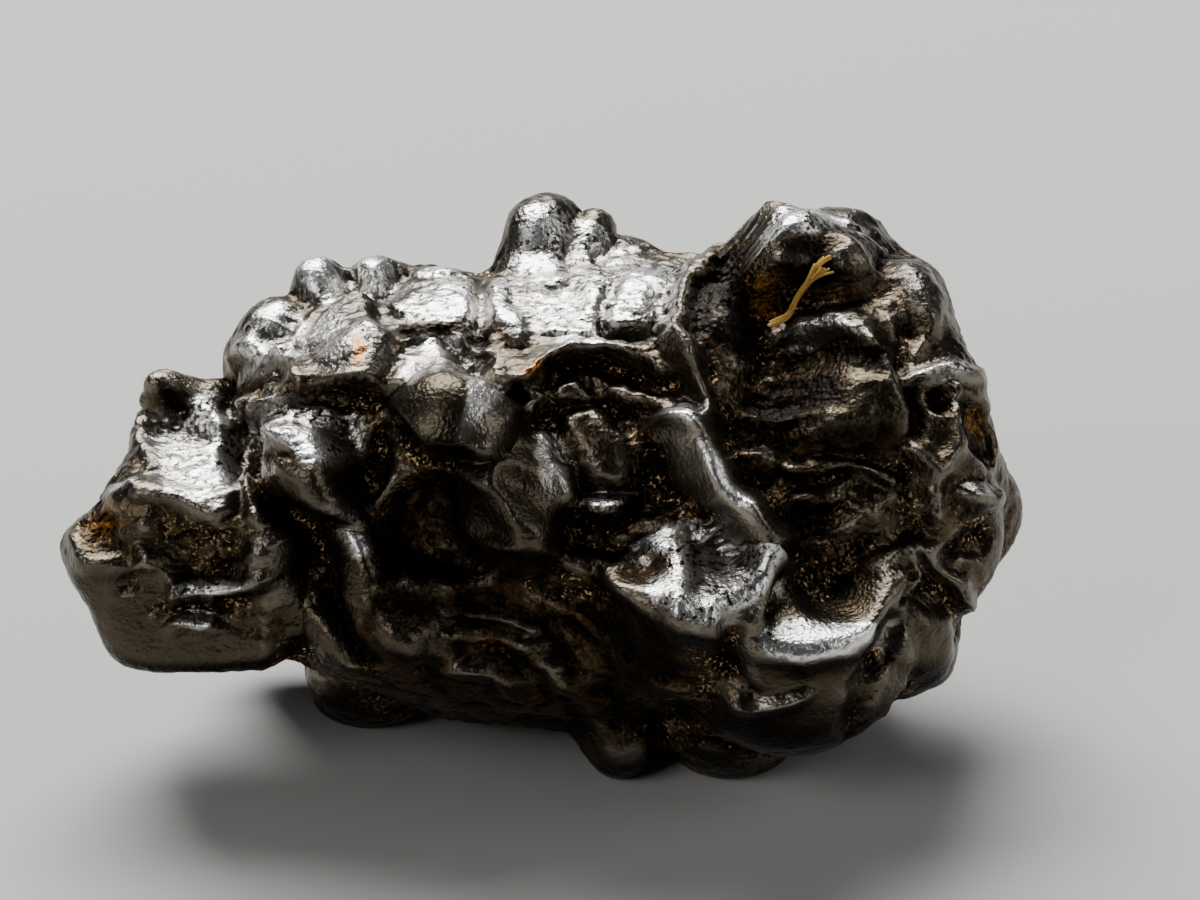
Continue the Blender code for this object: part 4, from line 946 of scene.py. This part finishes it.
def add_attribute(piece, name, values):
    """A number at each point, which the piece's material reads by name."""
    attribute = piece.data.attributes.new(name, "FLOAT", "POINT")
    attribute.data.foreach_set("value", values.astype(np.float32))


nugget = add_mesh("meteorite_surface", points, quads)
for name, values in point_values.items():
    add_attribute(nugget, name, values)
print("nugget, mm:", points.min(axis=0).round(1), "to", points.max(axis=0).round(1))

# %% [markdown]
# ## Colours and nodes
#
# A material is a tree of nodes. Its colours are written as hex, as a colour picker shows them, and
# one function turns them to the linear values that light is reckoned in. One more function adds a
# node of any kind, and the others name what a few nodes do, so that the tree reads like formulas.

# %% Material helpers
COLOR_A, COLOR_B, COLOR_OUT = 6, 7, 2  # the Mix node's sockets when it mixes colours


def linear(hex_color):
    """A colour given as sRGB hex, such as "8A7F70", as linear RGBA."""
    srgb = np.array([int(hex_color[k : k + 2], 16) for k in (0, 2, 4)]) / 255
    rgb = np.where(srgb > 0.04045, ((srgb + 0.055) / 1.055) ** 2.4, srgb / 12.92)
    return (*rgb.tolist(), 1.0)


def node(tree, kind, inputs=None, **settings):
    """Adds a node. settings are its own properties, and inputs maps a socket's name or number to a
    value or to the output socket that it is linked from."""
    new = tree.nodes.new(kind)
    for name, value in settings.items():
        setattr(new, name, value)
    for socket, value in (inputs or {}).items():
        if isinstance(value, bpy.types.NodeSocket):
            tree.links.new(value, new.inputs[socket])
        else:
            new.inputs[socket].default_value = value
    return new


def new_material(name):
    """A new material with a Principled BSDF in its tree: (material, tree, shader)."""
    material = bpy.data.materials.new(name)
    material.use_nodes = True
    tree = material.node_tree
    return material, tree, tree.nodes["Principled BSDF"]


def eased(value, low, high, to_low=0.0, to_high=1.0):
    """A Map Range node that runs in an S-curve from to_low at low to to_high at high."""
    inputs = {"Value": value, "From Min": low, "From Max": high}
    inputs |= {"To Min": to_low, "To Max": to_high}
    return node(
        tree, "ShaderNodeMapRange", inputs, interpolation_type="SMOOTHSTEP"
    ).outputs["Result"]


def mixed(share, color_a, color_b):
    """Colour a where the share is 0, and b where it is 1."""
    inputs = {"Factor": share, COLOR_A: color_a, COLOR_B: color_b}
    return node(tree, "ShaderNodeMix", inputs, data_type="RGBA").outputs[COLOR_OUT]


def sum_of(value, factor, addend):
    """value * factor + addend."""
    inputs = {0: value, 1: factor, 2: addend}
    return node(tree, "ShaderNodeMath", inputs, operation="MULTIPLY_ADD").outputs[0]


def product_of(value, factor):
    """value * factor."""
    return sum_of(value, factor, 0.0)


iron, tree, shader = new_material("worn nickel-iron")
print("material:", iron.name)

# %% [markdown]
# ## Nickel-iron
#
# One metal in two states. Worn, it is steel grey, painted bright on the tops as lit, and darker
# where it looks forward, away from the light, as painted shade. In the hollows it keeps a skin of
# brown oxide, painted black with shade in the crevices, and with painted glints.
# They could be two materials, but their edge is ragged down to the finest grain. So one metallic
# shader does for both, and only its colour and its gloss change.

# %% Colours of the iron
POLISHED_LIT_IRON = linear("EBEAE7")  # polished tops, painted brighter as lit by the softbox behind
STEEL = linear("9C9891")  # dull metal beside them
PITTED = linear("524D46")  # the pores in both
RUBBED_AND_HIGHLIT = linear("6E665A")  # ridges that look forward: rubbed, with a painted highlight
DULL_IN_SHADE = linear("7B766D")  # clean iron that looks forward, darkened as painted shade, as it mirrors the dim side of the room
SATIN_IN_SHADE = linear("A49C8E")  # smooth iron that looks forward, where it is polished, darkened as painted shade
BROWNED_IN_SHADE = linear("494236")  # smooth iron that looks forward, where it isn't polished, darkened as painted shade
BRONZE_IN_SHADE = linear("4A4032")  # thin oxide on the faces that look forward, with painted shade
OXIDE = linear("4B3723")  # thick oxide in the hollows
DEEP_OXIDE_AND_SHADE = linear("17120D")  # the hollows' crevices: dark oxide, deepened as painted shade
PAINTED_GLINT = linear("C9A67A")  # painted glints, as light caught by crystal faces in the hollows
RUST = linear("8F6026")
# painted shade on what looks down
PAINTED_UNDERSIDE_SHADE = linear("241E16")
print("bright iron, linear:", np.round(POLISHED_LIT_IRON[:3], 3), "oxide:", np.round(OXIDE[:3], 3))

# %% [markdown]
# ## Patterns and wear
#
# Four noises, told by the point's place on the nugget, keep every edge between the two states
# ragged. Metal is bare where what stands out, what is polished, what looks up and what is smooth
# add up to enough. Each share runs from 0 to 1 in an S-curve, so a pair of limits below says where
# something starts and where it is whole.

# %% Patterns and wear
# Each noise: the size of its lumps in millimetres, and how often finer noise is added to it.
BLOTCH = 1.1, 5
SPECK = 0.2, 4
CRYSTAL = 0.14, 2
GRIT = 0.15, 3
# How much each counts in the sum that says where metal is bare.
# Looking up counts partly as wear on the tops and partly as painted light, since the tops face the
# softbox.
BY_NOISE, BY_SMOOTH, BY_LOOK, BY_POLISH = 0.5, 0.4, 0.3, 0.8
WORN = 0.50, 0.95  # limits of that sum, for bare metal
BLOTCHES_IN_PORES = 0.6  # how much blotches count in the noise that makes pores
SOUND = 0.66, 0.78  # limits of that noise, for sound metal between the pores
SOUND_POLISH = 0.60, 0.85  # limits of the polish, for the same
SOUND_LEAST = 0.25  # how sound it stays with less polish
EDGE = -0.05, 0.05  # limits of how far an edge stands out, in millimetres, for a worn edge with a painted highlight on the tops
RUBBED_EDGE = 0.01, 0.08  # the same for a rubbed ridge that looks forward, painted lighter as a highlight
BLOTCHES_IN_GLINTS = 0.7  # how much blotches count in the noise that makes painted glints
GLINTS = 0.93, 1.03  # limits of that noise, for a painted glint
GLINTS_POLISH = 0.08, 0.30  # limits of the polish, for the same
place = node(tree, "ShaderNodeTexCoord").outputs["Object"]
near_out, broad_out, up_out, polish_and_light_out, smooth_out, stain_out = (
    node(tree, "ShaderNodeAttribute", attribute_name=name).outputs["Fac"] for name in point_values
)
noises = []
for size, detail in (BLOTCH, SPECK, CRYSTAL, GRIT):
    inputs = {"Vector": place, "Scale": 1 / (size * MM), "Detail": detail}
    noises.append(node(tree, "ShaderNodeTexNoise", inputs).outputs["Fac"])
blotches, specks, grains, grit = noises
patchy = sum_of(blotches, BY_NOISE, sum_of(specks, BY_NOISE, broad_out))
patchy = sum_of(smooth_out, BY_SMOOTH, patchy)
wear = eased(sum_of(polish_and_light_out, BY_POLISH, sum_of(up_out, BY_LOOK, patchy)), *WORN)
sound = eased(sum_of(blotches, BLOTCHES_IN_PORES, specks), *SOUND)
sound = product_of(sound, eased(polish_and_light_out, *SOUND_POLISH, SOUND_LEAST, 1))
# Edges that stand out are worn, and on the tops they also get a painted highlight.
edge = eased(near_out, *EDGE)
rubbed_and_highlit = eased(near_out, *RUBBED_EDGE)
# Painted glints: tiny spots of light painted into the hollows' colour.
painted_glints = eased(sum_of(blotches, BLOTCHES_IN_GLINTS, grains), *GLINTS)
painted_glints = product_of(painted_glints, eased(polish_and_light_out, *GLINTS_POLISH))
print("nodes so far:", len(tree.nodes))

# %% [markdown]
# ## The colour of each place
#
# Bare metal has three colours by where it looks, as painted light: up, forward or down. What looks
# up is painted bright, as lit by the softbox, with dark pores where it is grainy. What looks
# forward is painted dull, as a painted reflection of the dim side of the room, and what looks down
# is painted shade. The hollows run from painted shade in the crevices to oxide, with painted
# glints, and rust lies over all.

# %% Colour of each place
POLISH_IN_TOPS = 1.2  # how much polish counts, added to looking up, in what is painted as a lit top
UPWARD = 1.25, 1.75  # limits of that sum, for a painted lit top
DOWNWARD = 0.05, -0.35  # limits of how far a place looks up, for the painted shade of an underside
DULLED = 0.35, 0.65  # limits of the polish, for dull iron where bronze oxide was
SATINED = 0.30, 0.75  # the same for smooth iron
CLEARED = -0.35, 0.2  # limits of the polish, for oxide on a hollow's edges where the crevices' painted shade was
SPECKS_IN_STAINS = 2.0  # how much specks count, added to the stains' patches, in what is rusty
STAINED_AT = 1.40, 1.90  # limits of that sum, for rust
RUST_MOST = 0.85  # how far rust hides what is under it
# Painted light: what looks up, or is polished, is painted bright, as if lit by the softbox behind.
painted_lit_top = eased(sum_of(polish_and_light_out, POLISH_IN_TOPS, up_out), *UPWARD)
painted_underside_shade = eased(up_out, *DOWNWARD)
# Painted shade: what looks forward is painted darker, as a painted reflection of the dim side of
# the room.
dull_color_in_shade = mixed(eased(polish_and_light_out, *DULLED), BRONZE_IN_SHADE, DULL_IN_SHADE)
satin_in_shade = mixed(eased(polish_and_light_out, *SATINED), BROWNED_IN_SHADE, SATIN_IN_SHADE)
forward_color_in_shade = mixed(smooth_out, mixed(rubbed_and_highlit, dull_color_in_shade, RUBBED_AND_HIGHLIT), satin_in_shade)
pitted = sum_of(smooth_out, -1, eased(sound, 0, 1, 1, 0))
painted_lit_top_color = mixed(eased(pitted, 0, 1, 1, 0), PITTED, mixed(edge, STEEL, POLISHED_LIT_IRON))
# Bare metal: the painted lit top, the front in painted shade, or the underside in painted shade.
worn_color_lit_and_shaded = mixed(painted_lit_top, mixed(painted_underside_shade, forward_color_in_shade, PAINTED_UNDERSIDE_SHADE), painted_lit_top_color)
# Crevices are dark oxide with painted shade, and edges that stand out keep the oxide's brown.
hollow_color = mixed(product_of(eased(polish_and_light_out, *CLEARED), edge), DEEP_OXIDE_AND_SHADE, OXIDE)
hollow_color = mixed(painted_glints, hollow_color, PAINTED_GLINT)
color = mixed(wear, hollow_color, worn_color_lit_and_shaded)
stained = eased(sum_of(specks, SPECKS_IN_STAINS, stain_out), *STAINED_AT, 0, RUST_MOST)
color = mixed(stained, color, RUST)
tree.links.new(color, shader.inputs["Base Color"])
print("nodes so far:", len(tree.nodes))

# %% [markdown]
# ## Gloss and sparkle
#
# Worn metal is a little glossier than oxide. The finest crystals are too small for the sheet's
# squares, so they are a bump: grit, and cells that are strongest in the oxide and break its
# reflections into sparkles.

# %% Gloss and sparkle
OXIDE_ROUGHNESS = 0.45
WORN_ROUGHNESS = 0.30
CELL = 0.22  # size of the crystals in millimetres
CELLS_IN_OXIDE = 1.6  # how much they count in the bump, against the grit
CELLS_IN_WORN = 0.4
BUMP_DEPTH = 0.04 * MM
roughness = eased(wear, 0, 1, OXIDE_ROUGHNESS, WORN_ROUGHNESS)
crystals = node(tree, "ShaderNodeTexVoronoi", {"Vector": place, "Scale": 1 / (CELL * MM)})
cells_share = eased(wear, 0, 1, CELLS_IN_OXIDE, CELLS_IN_WORN)
sparkle = sum_of(crystals.outputs["Distance"], cells_share, grit)
bump = node(tree, "ShaderNodeBump", {"Strength": 1, "Distance": BUMP_DEPTH, "Height": sparkle})
tree.links.new(roughness, shader.inputs["Roughness"])
tree.links.new(bump.outputs["Normal"], shader.inputs["Normal"])
shader.inputs["Metallic"].default_value = 1
nugget.data.materials.append(iron)
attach(nugget, "root")
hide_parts("meteorite")
print(iron.name + ":", len(tree.nodes), "nodes")

# %% [markdown]
# ## The caught fibre
#
# A few dry plant fibres have caught on the rough wall under the crest. Hair curves could draw them,
# but a mesh can be used anywhere, so each is a thin round tube along a line. It follows the surface
# just outside it. The fibres lie close together, and fray at their upper end.

# %% Caught fibre
# The fibre's line over the face (u, v), from its top.
FIBRE_PATH = np.array([(10.1, 7.9), (9.6, 7.5), (9.1, 6.8), (8.8, 6.1), (8.0, 5.7)])
PATH_ROUNDING = 13  # points over which its corners are rounded
HEIGHT_ROUNDING = 9  # points over which its height is evened out
STRANDS = 9
STRAND_STEPS = 64  # points along each strand
STRAND_SIDES = 6  # the ends are closed for just this number
STRAND_RADIUS = 0.045
BUNDLE = 0.10  # how far the strands lie from the path's middle
FRAY = 0.30  # how much further they part at the upper end
FRAYED_SHARE = 0.35  # the share of their length in which they part
TWIST = 2.5  # how far round one another they turn, in radians
FIBRE_LIFT = 0.22  # how far the path lies outside the surface
FEEL = 0.25  # the surface's highest point this near decides the height of the path


def running_mean(values, width):
    """Each row's mean with its neighbours, width rows in all. The end rows are repeated."""
    half = width // 2
    padded = np.concatenate([values[:1].repeat(half, 0), values, values[-1:].repeat(half, 0)])
    sums = np.cumsum(np.concatenate([np.zeros_like(values[:1]), padded]), axis=0)
    return (sums[width:] - sums[:-width]) / width


def along_path(corners, count):
    """count points along a polyline, evenly spaced, with its corners rounded by smoothing."""
    lengths = np.linalg.norm(np.diff(corners, axis=0), axis=1)
    stations = np.concatenate([[0], np.cumsum(lengths)])
    where = np.linspace(0, stations[-1], count)
    line = np.stack([np.interp(where, stations, column) for column in corners.T], axis=1)
    return running_mean(line, PATH_ROUNDING)


def reach_near(flat):
    """How far out of the face the nugget reaches within FEEL of each (u, v)."""
    apart = np.linalg.norm(flat[:, None, :] - finished[None, :, :2], axis=2)
    return np.where(apart < FEEL, finished[:, 2], -np.inf).max(axis=1)


def strands_of(middle):
    """(points, quads) of closed tubes: rings of STRAND_SIDES points round lines that wind beside
    the middle line, and further from it where they fray."""
    share = np.linspace(0, 1, STRAND_STEPS)
    turn = rng.uniform(0, 2 * math.pi, STRANDS)[:, None]
    reach = np.sqrt(rng.uniform(0.1, 1, STRANDS))[:, None]
    spread = BUNDLE + FRAY * ease(-share, -FRAYED_SHARE, 0.0)
    twist = turn + TWIST * share
    lines = np.repeat(middle[None], STRANDS, axis=0)
    lines[:, :, 0] += reach * spread * np.cos(twist)
    lines[:, :, 1] += reach * spread * np.sin(twist)
    lines[:, :, 2] += 0.5 * reach * spread * np.sin(2 * twist)
    tangent = unit(np.gradient(lines, axis=1).reshape(-1, 3)).reshape(lines.shape)
    side = unit(np.cross(tangent, [0, 0, 1]).reshape(-1, 3)).reshape(lines.shape)
    over = np.cross(side, tangent)
    angle = (np.arange(STRAND_SIDES) * 2 * math.pi / STRAND_SIDES)[None, None, :, None]
    rings = np.cos(angle) * side[:, :, None] + np.sin(angle) * over[:, :, None]
    points = lines[:, :, None] + STRAND_RADIUS * rings
    shape = (STRANDS, STRAND_STEPS, STRAND_SIDES)
    index = np.arange(math.prod(shape)).reshape(shape)
    after = np.roll(index, -1, axis=2)
    walls = np.stack([index[:, :-1], after[:, :-1], after[:, 1:], index[:, 1:]], axis=-1)
    # Two quads close each six-sided end.
    first, last = index[:, 0], index[:, -1]
    ends = [first[:, [3, 2, 1, 0]], first[:, [5, 4, 3, 0]]]
    ends += [last[:, [0, 1, 2, 3]], last[:, [0, 3, 4, 5]]]
    return points.reshape(-1, 3), np.concatenate([walls.reshape(-1, 4), *ends])


path = along_path(FIBRE_PATH, STRAND_STEPS)
lift = running_mean(reach_near(path)[:, None], HEIGHT_ROUNDING) + FIBRE_LIFT
strand_points, strand_quads = strands_of(np.concatenate([path, lift], axis=1))
fibre = add_mesh("caught_fibre", to_table(strand_points), strand_quads)
straw, tree, shader = new_material("dry plant fibre")
shader.inputs["Base Color"].default_value = linear("D2A94E")
shader.inputs["Roughness"].default_value = 0.6
fibre.data.materials.append(straw)
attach(fibre, "root")
print("fibre:", len(strand_quads), "quads, w in mm:", lift.min().round(2), lift.max().round(2))

# %% [markdown]
# ## The table
#
# A plain pale table, as a sheet of painted board would be. One square is enough, far wider than
# what the camera sees, so that no edge shows. It is the stage, and no part of the object.

# %% Table
TABLE_SIZE = 4000 * MM
corner = TABLE_SIZE / 2
corners = [(-corner, -corner, 0), (corner, -corner, 0), (corner, corner, 0), (-corner, corner, 0)]
table_mesh = bpy.data.meshes.new("table")
table_mesh.from_pydata(corners, [], [(0, 1, 2, 3)])
table = bpy.data.objects.new("table", table_mesh)
bpy.context.scene.collection.objects.link(table)
paint, tree, shader = new_material("pale matt paint")
shader.inputs["Base Color"].default_value = linear("B4B4B1")
shader.inputs["Roughness"].default_value = 0.75
table_mesh.materials.append(paint)
table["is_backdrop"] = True
print("table, m:", TABLE_SIZE)

# %% [markdown]
# ## The light
#
# Metal shows what it mirrors, so its light has to be large. A softbox behind the nugget and above
# it makes tops and ridges shine and lets the front fall into shade. Two weak ones, in front and at
# the right, and a faint light from all round keep the hollows readable.

# %% Lights
NUGGET_MIDDLE = (0, 0, 8 * MM)
# Each light: azimuth and elevation in degrees, distance and (width, height) in mm, power in watts.
SOFTBOXES = {
    "window": (192, 48, 500, (420, 260), 6.4),
    "fill": (-50, 35, 500, (250, 250), 0.7),
    "side": (80, 30, 500, (300, 300), 0.5),
}
ROOM_LIGHT = 0.045  # strength of the light from all round


def add_softbox(name, azimuth, elevation, distance, size, power):
    """A rectangular light, turned to the nugget. Azimuth 0 is in front, and 90 at the right."""
    a, e = math.radians(azimuth), math.radians(elevation)
    data = bpy.data.lights.new(name, "AREA")
    data.shape = "RECTANGLE"
    data.size, data.size_y = size[0] * MM, size[1] * MM
    data.energy = power
    light = bpy.data.objects.new(name, data)
    away = Vector((math.sin(a) * math.cos(e), -math.cos(a) * math.cos(e), math.sin(e)))
    light.location = Vector(NUGGET_MIDDLE) + away * distance * MM
    light.rotation_euler = turned_to(light.location, NUGGET_MIDDLE)
    light.visible_camera = False
    bpy.context.scene.collection.objects.link(light)


for name, softbox in SOFTBOXES.items():
    add_softbox(name, *softbox)
world = bpy.data.worlds.new("studio")
world.use_nodes = True
background = world.node_tree.nodes["Background"]
background.inputs["Color"].default_value = linear("C8CCD0")
background.inputs["Strength"].default_value = ROOM_LIGHT
bpy.context.scene.world = world
print("lights:", ", ".join(SOFTBOXES), "and the room")

# %% [markdown]
# ## Sizes and finish
#
# The dressed nugget has to be as large as its solid, so its box is printed.

# %% Sizes and finish
visual_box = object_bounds()
dressed = [[round(value / MM, 1) for value in corner] for corner in visual_box]
print("the dressed nugget's box, mm:", dressed)
